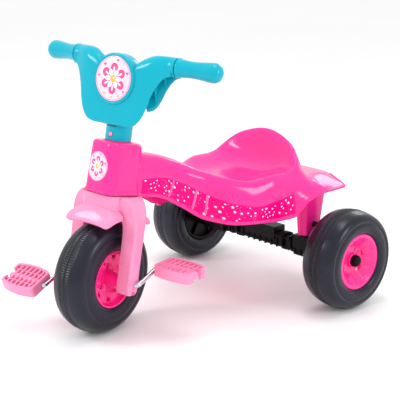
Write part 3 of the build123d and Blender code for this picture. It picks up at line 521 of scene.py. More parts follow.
def rear_facet(k):
    """One of the six raised facets on the slope of a rear hub's dish."""
    middle = radians(60 * k + 12)
    verts = []
    for x, r, angle in ((-3.0, 42.6, -20), (-3.0, 42.6, 20), (-17.5, 28.0, -12), (-17.5, 28.0, 12),
                          (-5.0, 38.0, -12), (-5.0, 38.0, 12), (-13.5, 27.0, -9), (-13.5, 27.0, 9),
                          (-8.0, 44.0, 0), (-20.5, 25.0, 0)):
        t = middle + radians(angle)
        verts.append((REAR_FACE + x, r * sin(t), r * cos(t)))
    faces = [(0, 1, 5, 4), (4, 5, 7, 6), (6, 7, 3, 2), (0, 4, 6, 2), (1, 3, 7, 5),
             (0, 8, 1), (2, 3, 9), (0, 2, 9, 8), (1, 8, 9, 3)]
    return verts, faces


def rear_hub_outer(side):
    """A rear hub's dished face: rim ring, six raised facets, floor, tab slots and boss."""
    rim = [(-19.0, 26.0), (-16.5, 28.6), (-3.2, 42.2), (-1.8, 43.8), (0.5, 45.4), (1.0, 46.6), (0.8, 50.6),
           (0.1, 51.9), (-4.9, 52.0), (-4.9, 48.4)]
    boss = [(-12.3, 5.0), (-12.3, 12.2), (-13.2, 12.8), (-19.5, 13.6), (-19.9, 14.6), (-20.0, 17.0),
            (-19.8, 24.6)]
    n = 240
    profile = from_face(REAR_FACE, rim) + [(0.3, 48.4), (0.3, 5.0)] + from_face(REAR_FACE, boss)
    slots = plate_faces(n, [16, 17], [(18, 22), (38, 42)])
    dots = plate_faces(n, [1], [(14, 17), (43, 46)])
    part = pocketed(lathe(profile, n, closed=True),
                    [(g, (-5.0, 0, 0)) for g in slots] + [(g, (-1.5, 0, 0)) for g in dots])
    return [on_side(p, side) for p in [part, *(rear_facet(k) for k in range(6))]]


def rear_hub_inner(side):
    """The plain inner half: rim lip, recessed web with ribs and the long boss towards the beam."""
    rim = [(-8.0, 46.4), (0.3, 47.0), (1.0, 48.0), (1.0, 51.2), (0.2, 52.0), (-4.9, 52.0), (-4.9, 48.4)]
    boss = [(0.3, 48.4), (0.3, 5.0), (57.6, 5.0), (58.0, 5.5), (58.0, 18.4), (57.2, 19.3)]
    web = [(-8.0, 19.5), (-9.0, 20.5), (-9.0, 45.4)]
    part = lathe(from_face(REAR_FACE, rim) + boss + from_face(REAR_FACE, web), 192, closed=True)
    ribs = [moved(block((REAR_FACE - 9.2, 18.8, -1.3), (REAR_FACE - 3.0, 46.8, 1.3)), turn(60 * k, "X"))
            for k in range(6)]
    return [on_side(p, -side) for p in [part, *ribs]]


def axle_cap(side):
    """A push-on cap: skirt, step and dome over the axle's end."""
    start, end = REAR_FACE - 11.7, REAR_FACE + 0.8
    rise = end - start - 4.2
    profile = [(start, 4.1), (start, 10.6), (start + 0.5, 11.5), (start + 3.2, 11.5), (start + 3.5, 10.9),
               (start + 4.2, 10.8)]
    for angle in (12, 24, 36, 48, 60, 70, 78, 84, 90):
        t = radians(angle)
        profile.append((start + 4.2 + rise * sin(t), 10.8 * cos(t)))
    profile += [(end - 5.5, 0.0), (end - 5.5, 4.1)]
    return [on_side(lathe(profile, 64, closed=True), side)]


piece("front_tyre_skin", [tyre(*FRONT_TYRE, 3)], STEER, "front_wheel", [TYRE], ["front_tyre"],
      sharp=50, weld=False)
for side, sign in SIDES.items():
    piece(f"front_hub_shell_{side}", front_hub(sign), STEER, "front_wheel", [HUB],
          [f"front_hub_{side}"])
    body = f"rear_wheel_{side}"
    piece(f"rear_tyre_skin_{side}", [tyre(*REAR_TYRE, 11 + sign)], REAR[side], body, [TYRE],
          [f"rear_tyre_{side}"], sharp=50, weld=False)
    dish = piece(f"rear_hub_dish_{side}", rear_hub_outer(sign), REAR[side], body, [HUB],
                 [f"rear_hub_outer_{side}"])
    bevel(dish, 0.5)
    piece(f"rear_hub_back_{side}", rear_hub_inner(sign), REAR[side], body, [BLACK],
          [f"rear_hub_inner_{side}"])
    piece(f"axle_cap_dome_{side}", axle_cap(sign), REAR[side], "frame", [BLACK],
          [f"axle_cap_{side}"])

# ---- pedals
PEDAL_HALF, PEDAL_END, PEDAL_MIDDLE = 37.5, 24.5, 30.0
PEDAL_HIGH, PEDAL_WALL = 9.5, 4.2
SLATS = 6


def pedal_outline(half, end, middle, steps=14):
    """Counter-clockwise pedal outline with bowed long sides and clipped corners."""
    long_side = []
    for k in range(steps + 1):
        x = half - 2.5 - (2 * half - 5.0) * k / steps
        long_side.append((x, end + (middle - end) * (1 - (x / half) ** 2)))
    corner = [(half, end - 2.5)]
    near = [(half, -end + 2.5)] + [(x, -y) for x, y in long_side] + [(-half, -end + 2.5)]
    return corner + long_side + [(-half, end - 2.5)] + near[::-1]


def pedal(sign):
    """A slatted pedal about its pin, with a raised rim, two cross bars and a pin tube."""
    inset = PEDAL_WALL
    outer = pedal_outline(PEDAL_HALF, PEDAL_END, PEDAL_MIDDLE)
    inner = pedal_outline(PEDAL_HALF - inset, PEDAL_END - inset, PEDAL_MIDDLE - inset)
    ring = []
    for path, z in ((outer, -PEDAL_HIGH), (outer, PEDAL_HIGH), (inner, PEDAL_HIGH), (inner, -PEDAL_HIGH)):
        ring.append([(x, y, z) for x, y in path])
    parts = [skin(ring, back=True)]
    pitch = (2 * PEDAL_HALF - PEDAL_WALL) / (SLATS + 1)
    for i in range(SLATS):
        x = PEDAL_WALL / 2 - PEDAL_HALF + pitch * (i + 1)
        reach = PEDAL_END + (PEDAL_MIDDLE - PEDAL_END) * (1 - (x / PEDAL_HALF) ** 2) - 1.2
        parts.append(block((x - 1.9, -reach, -8.2), (x + 1.9, reach, 8.2)))
    for y in (-13.0, 13.0):
        parts.append(block((-36.0, y - 1.1, -7.0), (36.0, y + 1.1, 7.0)))
    tube = [(-37.9, 4.06), (-37.9, 7.0), (-37.4, 7.5), (26.0, 7.5), (26.5, 7.0), (26.5, 4.06)]
    parts.append(lathe(tube, 40, closed=True))
    return [on_side(p, sign) for p in parts]


for side, sign in SIDES.items():
    pin = (sign * PEDAL_OUT, sign * CRANK * cos(CRANK_ANGLE), sign * CRANK * sin(CRANK_ANGLE))
    place = STEER @ Matrix.Translation(pin) @ turn(TILTS[side], "X")
    made = piece(f"pedal_frame_{side}", pedal(sign), place, f"pedal_{side}", [PALE],
                 [f"pedal_{side}"])
    cut(made, [on_side(block((28.5, -10.0, -15.0), (45.0, 10.0, 15.0)), sign)], place)
    bevel(made, 0.5)

# ---- fork
# A leg's middle line by step: its x and height, then the half width and half depth of its section.
LEG_LINE = table([
    (0.0, 57.5, -20.6, 10.5, 5.0), (1.0, 57.5, -18.5, 13.0, 9.5), (2.0, 57.5, -14.0, 14.2, 12.2),
    (3.0, 57.5, -6.0, 14.5, 13.0), (4.0, 57.5, 40.0, 14.5, 13.0), (5.0, 57.6, 82.0, 14.6, 13.4),
    (6.0, 56.8, 100.0, 15.2, 15.0), (7.0, 53.0, 116.0, 16.5, 18.0), (8.0, 46.0, 129.0, 17.0, 21.5),
    (9.0, 36.0, 138.0, 16.0, 25.0)])


def leg_section(a, b):
    """A leg's section: flat outer face, a stepped strip along its rear edge and fine front ridges."""
    step = min(1.5, 0.12 * a)
    top, foot = (b - 6.4, b - 5.2) if b > 9 else (0.4 * b, 0.5 * b)
    out = [(a, 0), (a, 0.35 * b), (a, top), (a - step, foot), (a - step, 0.82 * b),
           (a - step - 0.7, 0.94 * b), (a - step - 2.4, b), (0, b), (-a + 3, b),
           (-a + 0.9, 0.94 * b), (-a, 0.78 * b), (-a, 0), (-a, -0.78 * b), (-a + 0.9, -0.94 * b),
           (-a + 3, -b), (0, -b)]
    corner = min(6.0, 0.6 * b)
    for k in range(13):
        t = radians(-90 + 7.5 * k)
        r = corner + 0.35 * sin(6.6 * k) * (0 if b < 12 else 1)
        out.append((a - corner + r * cos(t), -b + corner + r * sin(t)))
    return out


def fork_leg(sign):
    """A leg from its rounded foot up and inwards to the crown."""
    loops = []
    steps = 90
    for i in range(steps + 1):
        t = 9.0 * i / steps
        x, s, a, b = LEG_LINE(t)
        x1, s1, _, _ = LEG_LINE(min(9.0, t + 0.05))
        x0, s0, _, _ = LEG_LINE(max(0.0, t - 0.05))
        size = hypot(x1 - x0, s1 - s0)
        nx, ns = (s1 - s0) / size, -(x1 - x0) / size
        loops.append([(x + nx * u, v, s + ns * u) for u, v in leg_section(a, b)])
    return on_side(skin(loops, start=True, end=True), sign)


def crown():
    """The rounded-square crown under the tower, from its skirt over the wheel to its top."""
    rows = [(111.6, 32, 12), (112.0, 34.5, 13), (113.5, 36.0, 14), (124.0, 37.6, 15), (132.0, 38.4, 16),
            (143.4, 38.6, 17), (145.6, 38.2, 17), (146.5, 36.6, 16), (146.6, 34.0, 15)]
    loops = [[(x, y, s) for x, y in rounded(half, half, corner)] for s, half, corner in rows]
    return skin(loops, start=True, end=True)


HOOD_REACH, HOOD_CORNER = 47.0, 10.0
HOOD_TOP, HOOD_UNDER = 112.6, 109.6


def hood(direction):
    """One end of the mudguard: a swept hood whose corners hang lowest, thick at its rolled edge."""
    loops = []
    count = 44
    for i in range(count + 1):
        x = -HOOD_REACH + 2 * HOOD_REACH * i / count
        near = abs(x) / HOOD_REACH
        slack = max(0.0, abs(x) - HOOD_REACH + HOOD_CORNER)
        trim = HOOD_CORNER - sqrt(max(0.0, HOOD_CORNER ** 2 - slack * slack))
        angle = radians(29.5 + 4.6 * near ** 2.5) - trim / 112.0
        edge_d, edge_s = HOOD_TOP * sin(angle), HOOD_TOP * cos(angle)
        root_s = 131.0 - 18.0 * near ** 2
        flare = 2.0 * near ** 4
        top = [(22.0, root_s + 3.0), (30.0, root_s + 1.0), (37.0, root_s - 2.5 * (1 - near)),
               ((37.0 + edge_d) / 2 + 1.0, (root_s + edge_s) / 2 + 3.4 + flare * 0.4),
               (edge_d - 1.0, edge_s + 4.2 + flare)]
        line = [(p.x, p.y) for p in curve([(d, s, 0) for d, s in top], 5)]
        line += [(edge_d + 0.9, edge_s + 2.6 + flare), (edge_d + 1.2, edge_s + 1.2 + flare),
                 (edge_d + 0.5, edge_s - 0.1 + flare)]
        for k in range(7):
            t = angle - 0.012 - (angle - 0.012 - 0.19) * k / 6
            line.append((HOOD_UNDER * sin(t), HOOD_UNDER * cos(t) + flare * (1 - k / 6)))
        loops.append([(x, direction * d, s) for d, s in line])
    return skin(loops, start=True, end=True)


stem = [(112.0, 15.2), (112.0, 19.0), (288.9, 19.0), (289.5, 18.4), (289.5, 15.2)]
boss = lathe([(43.0, 8.1), (43.0, 12.0), (71.9, 12.0), (72.5, 11.4), (72.5, 8.1)], 56, closed=True)
bosses = [on_side(boss, sign) for sign in SIDES.values()]
fork = piece("fork_body", [crown(), hood(-1), hood(1), fork_leg(1), fork_leg(-1)], STEER, "steering",
             [PALE], ["fork"], sharp=40)
# The legs' tops end under the tower, and each foot is open below its crank bush.
slot_cuts = [block((-80, -50, 146.9), (80, 50, 180))]
for sign in SIDES.values():
    slot_cuts.append(on_side(block((41.0, -3.6, -30.0), (76.0, 4.6, 0.0)), sign))
    slot_cuts.append(on_side(lathe([(41.0, 0.0), (41.0, 8.3), (76.0, 8.3), (76.0, 0.0)], 48), sign))
cut(fork, slot_cuts, STEER)
bevel(fork, 0.5, angle=50)
piece("fork_stem", [moved(lathe(stem, 72, closed=True), ALONG_Z)], STEER, "steering", [PALE])
piece("fork_bosses", bosses, STEER, "steering", [PALE])

# ---- tower
TOWER_LOW, TOWER_HIGH = 148.0, 235.6


def tower_half(s):
    """Half the tower's width at a height."""
    return 39.0 - 3.0 * (s - TOWER_LOW) / (TOWER_HIGH - TOWER_LOW)


def tower_loop(s, grow, circle=0.0, radius=0.0):
    """The tower's rounded-square loop at a height, blended towards a circle by a share."""
    half = tower_half(s) + grow
    loop = rounded(half, half, TOWER_CORNER + grow, 16)
    out = []
    for x, y in loop:
        size = hypot(x, y)
        k = (1 - circle) + circle * radius / size
        out.append((x * k, y * k, s))
    return out


def on_circle(loop, radius, s):
    """The loop's points moved out or in to a circle at a height."""
    return [(radius * x / hypot(x, y), radius * y / hypot(x, y), s) for x, y, _ in loop]


def tower():
    """The tower's shell: inner wall, lip, outer wall, rounded top, and the sleeve the stem turns in."""
    rows = [(226.0, -4.0), (190.0, -4.0), (149.2, -4.0), (148.3, -3.4), (148.0, -2.0), (148.0, 0.8),
            (148.3, 1.6), (149.0, 1.9), (150.4, 1.9), (151.2, 1.5), (151.7, 0.5), (152.6, 0.0)]
    rows += [(152.6 + (228.6 - 152.6) * k / 12, 0.0) for k in range(1, 13)]
    loops = [tower_loop(s, grow) for s, grow in rows]
    for k in range(1, 11):
        t = radians(9 * k)
        loops.append(tower_loop(228.6 + 7.0 * sin(t), -7.0 * (1 - cos(t))))
    for share in (0.15, 0.45, 0.8):
        loops.append(tower_loop(235.6 + 0.2 * share, -7.0, share, 25.6))
    for s, radius in ((235.5, 25.6), (235.0, 25.1), (232.0, 25.0), (150.0, 25.0), (149.6, 25.4),
                      (149.6, 28.6), (150.0, 29.0), (223.0, 29.0)):
        loops.append(on_circle(loops[0], radius, s))
    return skin(loops, back=True)


piece("tower_shell", [tower()], TOWER, "frame", [PINK], sharp=50)

# ---- saddle, neck and wings
NECK, NECK_BLEND = 58.0, 42.0
# The shell by y: the middle's height, then x and height of the seat's hollow, its rim, the shoulder, the side
# panel's top edge and the hem.
SADDLE = table([
    (58, 308.0, 15, 307.5, 27.5, 303.5, 34.5, 294, 36.5, 271, 35.5, 240),
    (78, 306.5, 16, 306, 28.5, 302, 36.5, 292.5, 39.5, 268.5, 38.8, 236),
    (98, 304, 16, 303.5, 29, 300, 38, 290, 42, 267, 41, 230),
    (144, 290, 17, 289.5, 33, 286, 43, 275, 47, 251, 46, 204),
    (185, 266, 25, 266, 46, 266, 59, 253, 64, 227, 64, 177),
    (225, 243, 38, 243, 76, 249, 89, 237, 97, 207, 99, 167),
    (272, 229, 50, 230, 98, 240, 109, 229, 117, 198, 117, 165),
    (320, 229, 55, 231, 109, 246, 119, 235, 123, 204, 121, 161),
    (345, 232, 55, 234, 108, 246, 118, 235, 127, 210, 134, 166),
    (370, 241, 54, 243, 106, 250, 117, 237, 131, 214, 143, 190),
    (386, 257, 50, 257, 98, 261, 113, 240, 130, 218.5, 145, 196.5),
    (395, 283, 47, 279, 90, 270, 109, 241, 129.5, 219, 146, 199),
    (401, 301.5, 43, 294.5, 82, 277, 106, 241, 129, 218.5, 146.6, 200.5),
    (405, 304.2, 42, 297, 81, 278.5, 104.5, 240, 128.6, 218, 147, 201.4),
    (409, 302, 42, 294, 81, 275, 103.5, 238, 128.4, 217.6, 147.4, 202),
    (414, 284, 43, 276, 82, 256, 103, 234, 128, 217, 148, 202.8),
    (420, 250, 44, 245, 82, 237, 103, 229.5, 127.5, 216.4, 148.6, 203.6),
    (427, 232, 45, 230.5, 82, 229, 101, 226.6, 126, 215.6, 149.4, 204.4),
    (440, 226, 45, 226, 78, 226, 97, 225, 124, 215, 150, 205),
    (465, 223, 45, 223, 74, 223, 92, 222.5, 120, 214, 150, 206),
    (490, 220, 32, 220, 55, 220, 74, 219.5, 84, 218, 93, 216)])
# How far a row curves forward by y: at the shoulder, and at the side.
BOW = table([(0, 0, 0), (345, 0, 0), (370, 2.0, 1.0), (386, 6.5, 3.0), (395, 9.0, 4.5), (401, 11.0, 5.5),
             (409, 12.0, 6.0), (420, 9.0, 5.0), (440, 3.0, 2.0), (465, 0, 0), (490, 0, 0)])
HEM_RISE = 5.0
SPAN_STEPS = 12
SPANS = (9, 9, 7, 6)


def saddle_half(y):
    """Half the saddle's section from its middle to the hem, as (x, z), with a raised hem lip."""
    c, ix, iz, tx, tz, cx, cz, px, pz, hx, hz = SADDLE(y)
    points = [Vector((0, c, 0)), Vector((ix, iz, 0)), Vector((tx, tz, 0)), Vector((cx, cz, 0)),
              Vector((px, pz, 0)), Vector((hx, hz, 0))]
    dense = curve([Vector((-ix, iz, 0)), *points], SPAN_STEPS)[SPAN_STEPS:]
    out = []
    for span, count in enumerate(SPANS):
        part = dense[SPAN_STEPS * span:SPAN_STEPS * (span + 1) + 1]
        for k in range(count):
            at = SPAN_STEPS * k / count
            i = int(at)
            p = part[i].lerp(part[min(i + 1, SPAN_STEPS)], at - i)
            out.append((p.x, p.y))
    last = dense[SPAN_STEPS * len(SPANS):]
    length = sum((b - a).length for a, b in zip(last, last[1:]))
    rise = min(HEM_RISE, 0.45 * length)
    for stop, lift in ((0, 0), (0.3, 0), (0.6, 0), (0.9, 0), (0.985, 0.1), (1.05, 1.1), (1.15, 1.4)):
        at = stop * (length - rise) if stop <= 1 else length - rise * (1.2 - stop) / 0.2
        out.append(panel_at(last, at, lift))
    out.append(panel_at(last, length, 1.2))
    return out


def panel_at(line, distance, lift):
    """A point along a run of points, lifted off it to the outside."""
    for a, b in zip(line, line[1:]):
        size = (b - a).length
        if distance <= size or b is line[-1]:
            p = a.lerp(b, min(1.0, distance / size))
            n = Vector((-(b - a).y, (b - a).x, 0)).normalized()
            return p.x + abs(n.x) * lift, p.y + n.y * lift * (1 if n.x > 0 else -1)
        distance -= size
    return line[-1].x, line[-1].y


def neck_start(x, z):
    """Where the neck's skin leaves the tower: just inside the tower's rear wall at that width."""
    s = (z - 100.0) * cos(radians(RAKE))
    half = tower_half(min(TOWER_HIGH, max(TOWER_LOW, s + 8.0)))
    flat = half - TOWER_CORNER
    over = min(TOWER_CORNER - 1.0, max(0.0, abs(x) - flat))
    d = flat + sqrt(TOWER_CORNER ** 2 - over ** 2) - 2.5
    return d / cos(radians(RAKE)) + (z - 100.0) * tan(radians(RAKE))


def bow(x, near, far):
    """How far forward a row of the backrest curves at that width."""
    x = abs(x)
    if x < 85.0:
        return near * (x / 85.0) ** 2.2
    return far + (near - far) * (1 - ease((x - 85.0) / 50.0))


def settled(x, y, z):
    """A point of the shell with the neck's end laid to the tower and the backrest bowed forward."""
    pull = 1 - ease((y - NECK) / NECK_BLEND)
    return x, y + pull * (neck_start(x, z) - NECK) - bow(x, *BOW(y)), z


def saddle():
    """The shell's outer skin, row by row from the tower to the rear edge, closest at the backrest."""
    ys, y = [], NECK
    while y < 490:
        ys.append(y)
        y += 1.1 if 380 < y < 430 else 3.2 if y < 470 else 2.4
    ys.append(490.0)
    loops = []
    for y in ys:
        half = saddle_half(y)
        points = [(-x, z) for x, z in reversed(half[1:])] + half
        loops.append([settled(x, y, z) for x, z in points])
    return skin(loops, closed=False)


shell = piece("saddle_shell", [saddle()], BODY, "frame", [PINK], ["body_shell"], sharp=60)
thicken(shell, SHELL_WALL)


STARS = 112
PANEL_HEIGHT = 44.0


def side_point(y, share, lift):
    """A point on the shell's side panel: share runs from its top edge down to the hem."""
    _, _, _, _, _, cx, cz, px, pz, hx, hz = SADDLE(y)
    line = curve([Vector((cx, cz, 0)), Vector((px, pz, 0)), Vector((hx, hz, 0))], 12)[12:]
    length = sum((b - a).length for a, b in zip(line, line[1:]))
    x, z = panel_at(line, share * length, lift)
    return settled(x, y, z)


def band(low, high, lift, rows, columns):
    """The side sticker's film from one y to another."""
    loops = []
    for i in range(rows + 1):
        y = low + (high - low) * i / rows
        loops.append([side_point(y, 0.03 + 0.80 * k / columns, lift) for k in range(columns + 1)])
    return skin(loops, closed=False)


def star(y, share, size, points, lift):
    """A small printed star (or dot, with many points) laid on the side panel."""
    verts = [side_point(y, share, lift)]
    for k in range(2 * points):
        r = size * (1.0 if k % 2 == 0 or points > 5 else 0.48)
        t = pi * k / points
        verts.append(side_point(y + r * sin(t), share - r * cos(t) / PANEL_HEIGHT, lift))
    n = 2 * points
    return verts, [(0, 1 + k, 1 + (k + 1) % n) for k in range(n)]


def rib(stations, width, height):
    """A moulded ridge that runs down the side panel through (y, share) stations."""
    loops = []
    count = 16
    for i in range(count + 1):
        t = i / count
        y = stations[0][0] + (stations[1][0] - stations[0][0]) * t
        share = stations[0][1] + (stations[1][1] - stations[0][1]) * t
        fade = min(1.0, 6 * t, 6 * (1 - t))
        loops.append([side_point(y + width * cos(a), share, -0.4 + height * fade * sin(a))
                      for a in (pi * k / 8 for k in range(9))])
    return skin(loops, closed=False)


RIBS = [((128.0, 0.0), (116.0, 0.86)), ((171.0, 0.0), (163.0, 0.86)), ((188.0, 0.0), (184.0, 0.86))]
for side, sign in SIDES.items():
    dice = random.Random(20 + sign)
    ink = [(*on_side(band(69.0, 346.0, 0.35, 90, 10), sign), 0)]
    spots = []
    while len(spots) < STARS:
        y, share = dice.uniform(73, 342), dice.uniform(0.07, 0.79)
        size = dice.choice((0.7, 0.9, 1.3, 1.8, 2.4, 3.0))
        if all(hypot(y - a, (share - b) * PANEL_HEIGHT) > size + c + 1.9 for a, b, c in spots):
            spots.append((y, share, size))
            points = 5 if size > 1.4 else 6
            ink.append((*on_side(star(y, share, size, points, 0.55), sign), 1 if size > 1.1 else 2))
    piece(f"side_sticker_print_{side}", ink, BODY, "frame", [STICKER, STAR, STAR_SOFT],
          [f"side_sticker_{side}"], weld=False)
    # The ribs take the lighter pink as a painted highlight along their crests.
    piece(f"side_ribs_{side}", [on_side(rib(r, 2.0, 2.4), sign) for r in RIBS], BODY, "frame",
          [RIB_HIGHLIGHT_PINK])


def rear_leg(sign):
    """A tapered post with chamfered corners and a shallow recess line down its front."""
    loops = []
    rows = [(117.2, 0.0, 2.0), (118.5, 0.0, 0.5), (121.0, 0.0, 0.0), (150.0, 0.25, 0.0), (190.0, 0.65, 0.0),
            (214.0, 1.0, 0.0)]
    for z, t, shrink in rows:
        x0, x1 = 103.0 - 2.0 * t + shrink, 127.0 + 8.0 * t - shrink
        y0, y1 = REAR_Y - 21.0 - 9.0 * t + shrink, REAR_Y + 21.0 + 8.0 * t - shrink
        mid = x0 + 0.55 * (x1 - x0)
        outline = [(x0 + 3, y0 + 1.5), (mid - 2, y0), (mid, y0 + 2.0), (x1 - 4, y0 + 2.6),
                   (x1 - 1.0, y0 + 5), (x1, y0 + 9), (x1, y1 - 9), (x1 - 1.2, y1 - 3), (x1 - 5, y1),
                   (x0 + 5, y1), (x0 + 1, y1 - 3), (x0, y1 - 7), (x0, y0 + 7), (x0 + 0.8, y0 + 3.5)]
        loops.append([(x, y, z + (12.0 - (x - 101.0) * 0.55 if z > 213 else 0.0)) for x, y in outline])
    return on_side(skin(loops, start=True, end=True), sign)


for side, sign in SIDES.items():
    # The posts take the darker pink as painted shade under the wings.
    post = piece(f"rear_post_{side}", [rear_leg(sign)], BODY, "frame", [SHADED_PINK],
                 [f"rear_leg_{side}"])
    bevel(post, 1.2, segments=3, angle=20)


def keel():
    """The gusset under the neck, with a rolled lower edge."""
    outline = [(70, 300), (70, 245), (84, 226), (98, 219), (113, 209), (126, 205.5), (140, 207), (152, 216),
               (178, 240), (178, 262), (140, 282)]
    loops = [[(x, y, z) for y, z in outline] for x in (-1.6, 1.6)]
    return skin(loops, start=True, end=True)


# The gusset takes the darker pink as painted shade under the neck.
bevel(piece("neck_gusset", [keel()], BODY, "frame", [SHADED_PINK]), 0.7)

# ---- rear beam
BEAM_END, BLOCK_START = 149.6, 95.0


def flange(low, high, radius, ease_off):
    """A round collar on the beam, with its two edges eased."""
    side = radius - ease_off
    profile = [(low, 6), (low, side), (low + ease_off, radius), (high - ease_off, radius), (high, side),
               (high, 6)]
    return lathe(profile, 40, closed=True)


def beam():
    """The beam's core with ribs, rails and flanges, a ribbed end block at each wheel and a middle block."""
    parts = [block((-149.5, -12.5, -12.0), (149.5, 12.5, 12.0))]
    for k in range(-6, 7):
        parts.append(block((15.5 * k - 1.6, -14.8, -13.6), (15.5 * k + 1.6, 14.8, 13.6)))
    for z in (-8.6, 8.6):
        parts.append(block((-96, -14.3, z - 1.8), (96, 14.3, z + 1.8)))
    parts += [flange(x - 3.4, x + 3.4, 18.2, 0.8) for x in (-84.0, -62.0, 62.0, 84.0)]
    for sign in SIDES.values():
        low, high = sorted((sign * BLOCK_START, sign * BEAM_END))
        parts.append(block((low, -21.6, -1.0), (high, 21.6, 24.4)))
        parts.append(block((low + 1, -19.4, -15.0), (high - 1, 19.4, 0.0)))
        parts.append(flange(low, high, 17.4, 0.8))
        for k in range(4):
            x = low + 4 + k * (high - low - 8) / 3
            parts.append(block((x - 1.6, -20.8, -12.0), (x + 1.6, 20.8, 0.5)))
    parts.append(block((-40.8, -15.3, 0.0), (40.8, 15.3, 24.4)))
    return parts


beam_place = Matrix.Translation((0, REAR["left"].translation.y, REAR_Z * MM)) @ SCALE
lattice = piece("beam_lattice", beam(), beam_place, "frame", [BLACK], ["rear_beam"])
bevel(lattice, 0.6)

# ---- handlebar
# The panel by x: its lower and upper edge, front and back, the roundness of its crest in d and in s, and
# how far down its back wall reaches.
PANEL = table([
    (0, 262.6, 345, -29, -6, 7, 7, 345), (22, 263.6, 350, -29, -6, 7, 8, 350),
    (34, 264.6, 364, -29, -5.5, 9, 12, 364), (42, 265.8, 374, -28.9, -5, 12, 17, 372),
    (50, 268.4, 380.5, -28.6, -3, 16, 21, 318), (57, 274.5, 384.6, -28, -0.5, 19, 23, 294),
    (64, 284.5, 387.2, -27.2, 1.5, 19, 22, 296), (70, 300, 388.4, -26, 3.5, 18, 20, 301),
    (76, 322, 388.9, -24.4, 6, 17, 18, 312), (84, 340, 389.2, -21.5, 9, 15, 16, 334),
    (92, 352, 389.2, -18.5, 11.5, 14, 15, 348), (98, 356, 389, -16.6, 13.5, 14, 15, 354),
    (104, 357, 388.4, -16, 15, 14, 15, 356)])
PANEL_HALF = 104.0


def run(start, end, count):
    """Evenly spaced points from start up to, but without, end."""
    return [(start[0] + (end[0] - start[0]) * k / count, start[1] + (end[1] - start[1]) * k / count)
            for k in range(count)]


def quarter(corner, first, last, count):
    """Points on a quarter ellipse from first to last, rounding off the given corner."""
    out = []
    for k in range(count):
        t = pi / 2 * k / count
        u, v = 1 - sin(t), 1 - cos(t)
        out.append((corner[0] + (first[0] - corner[0]) * u + (last[0] - corner[0]) * v,
                    corner[1] + (first[1] - corner[1]) * u + (last[1] - corner[1]) * v))
    return out


def panel_line(x):
    """The handlebar's outline in (d, s) at x: lower flange, front, crest and, on the arms, a back wall."""
    bottom, top, front, back, round_d, round_s, tail = PANEL(abs(x))
    middle = 1 - ease((abs(x) - 20.0) / 16.0)
    low = 1.2 + 5.8 * middle
    lip = (front + low + (back - front - low) * middle + 0.4, bottom)
    wall = ease((abs(x) - 40.0) / 14.0)
    turn_back = 0.3 + 9.7 * wall
    start = front + round_d
    end = max(back - turn_back, start + 0.4)
    line = run(lip, (front + low, bottom), 6)
    line += quarter((front, bottom), (front + low, bottom), (front, bottom + low), 6)
    line += run((front, bottom + low), (front, top - round_s), 12)
    line += quarter((front, top), (front, top - round_s), (start, top), 12)
    line += run((start, top), (end, top), 4)
    line += quarter((back, top), (end, top), (back, top - turn_back), 6)
    low_end = min(tail, top - turn_back - 0.5)
    line += run((back, top - turn_back), (back, low_end), 10) + [(back, low_end)]
    return line


def panel_part():
    columns = [PANEL_HALF * k / 84 for k in range(-84, 85)]
    return skin([[(x, *p) for p in panel_line(x)] for x in columns], closed=False)


def arm_rib(x):
    """A web across an arm's channel with a notched lower edge."""
    bottom, top, front, back, round_d, round_s, tail = PANEL(x)
    f, b = front + 2.4, back - 2.4
    outline = [(f, bottom + 2), (f, top - round_s), (f + 0.4 * round_d, top - 0.4 * round_s),
               (b - 8, top - 2.6), (b - 2, top - 5), (b, top - 10), (b, tail + 2),
               ((f + b) / 2 + 2, tail + 0.4 * (top - tail)), ((f + b) / 2 - 3, bottom + 0.4 * (top - bottom))]
    return skin([[(x + dx, d, s) for d, s in outline] for dx in (-1.0, 1.0)], start=True, end=True)


def steered(name, parts, material=TEAL, replaces=(), sharp=34.0, place=STEER):
    """A piece of the handlebar moulding."""
    return piece(name, parts, place, "steering", [material], replaces, sharp=sharp)


drum = [(-31.2, 0.0), (-31.2, 37.9), (-31.3, 38.6), (-32.1, 39.3), (-32.4, 40.0), (-32.3, 40.9),
        (-31.5, 42.2), (-30.2, 42.9), (-28.5, 43.1), (-9.0, 43.0), (-6.6, 42.5), (-5.3, 41.0), (-5.0, 39.9),
        (-5.3, 39.5), (-27.8, 39.4), (-28.2, 38.9), (-28.2, 0.0)]
collar = [(237.2, 19.2), (237.2, 22.2), (237.7, 22.6), (262.5, 22.6), (298.6, 22.5), (299.5, 21.6),
          (299.6, 18.0), (299.6, 0.0), (290.0, 0.0), (290.0, 19.2)]
thicken(steered("handlebar_panel", [panel_part()], replaces=["handlebar"], sharp=60), 3.2)
ribs = [arm_rib(x) for x in (58.0, 70.0, 83.0)]
bevel(steered("handlebar_ribs", ribs + [flipped(r) for r in ribs]), 0.4)
drum_place = Matrix.Translation((0, 0, DRUM_HEIGHT)) @ ALONG_Y
steered("handlebar_drum", [moved(lathe(drum, 144), drum_place)], sharp=50)
post = steered("handlebar_collar", [moved(lathe(collar, 120, closed=True), ALONG_Z)])
button_place = Matrix.Translation((0, 0, BUTTON_HEIGHT)) @ turn(-90, "Z")
cut(post, [moved(lathe([(10, 0.0), (10, 5.3), (30, 5.3), (30, 0.0)], 48), button_place)], STEER)
# A dark teal ring in the gap around the lock button: painted shade in the hole.
rim = [(19.4, 4.35), (19.4, 5.25), (22.2, 5.25), (22.2, 4.6), (21.2, 4.35)]
steered("button_hole_shade", [moved(lathe(rim, 48, closed=True), button_place)], TEAL_DARK)
# A dark teal crescent at the collar's front, just under the panel: painted shade in the gap between them.
gap_shade = []
for a in (radians(-24 + 4 * k) for k in range(13)):
    gap_shade.append([(r * sin(a), -r * cos(a), s)
                 for r, s in ((22.75, 260.9), (22.75, 262.6), (24.6, 262.6), (24.6, 261.4))])
steered("collar_gap_shade", [skin(gap_shade, start=True, end=True)], TEAL_DARK)

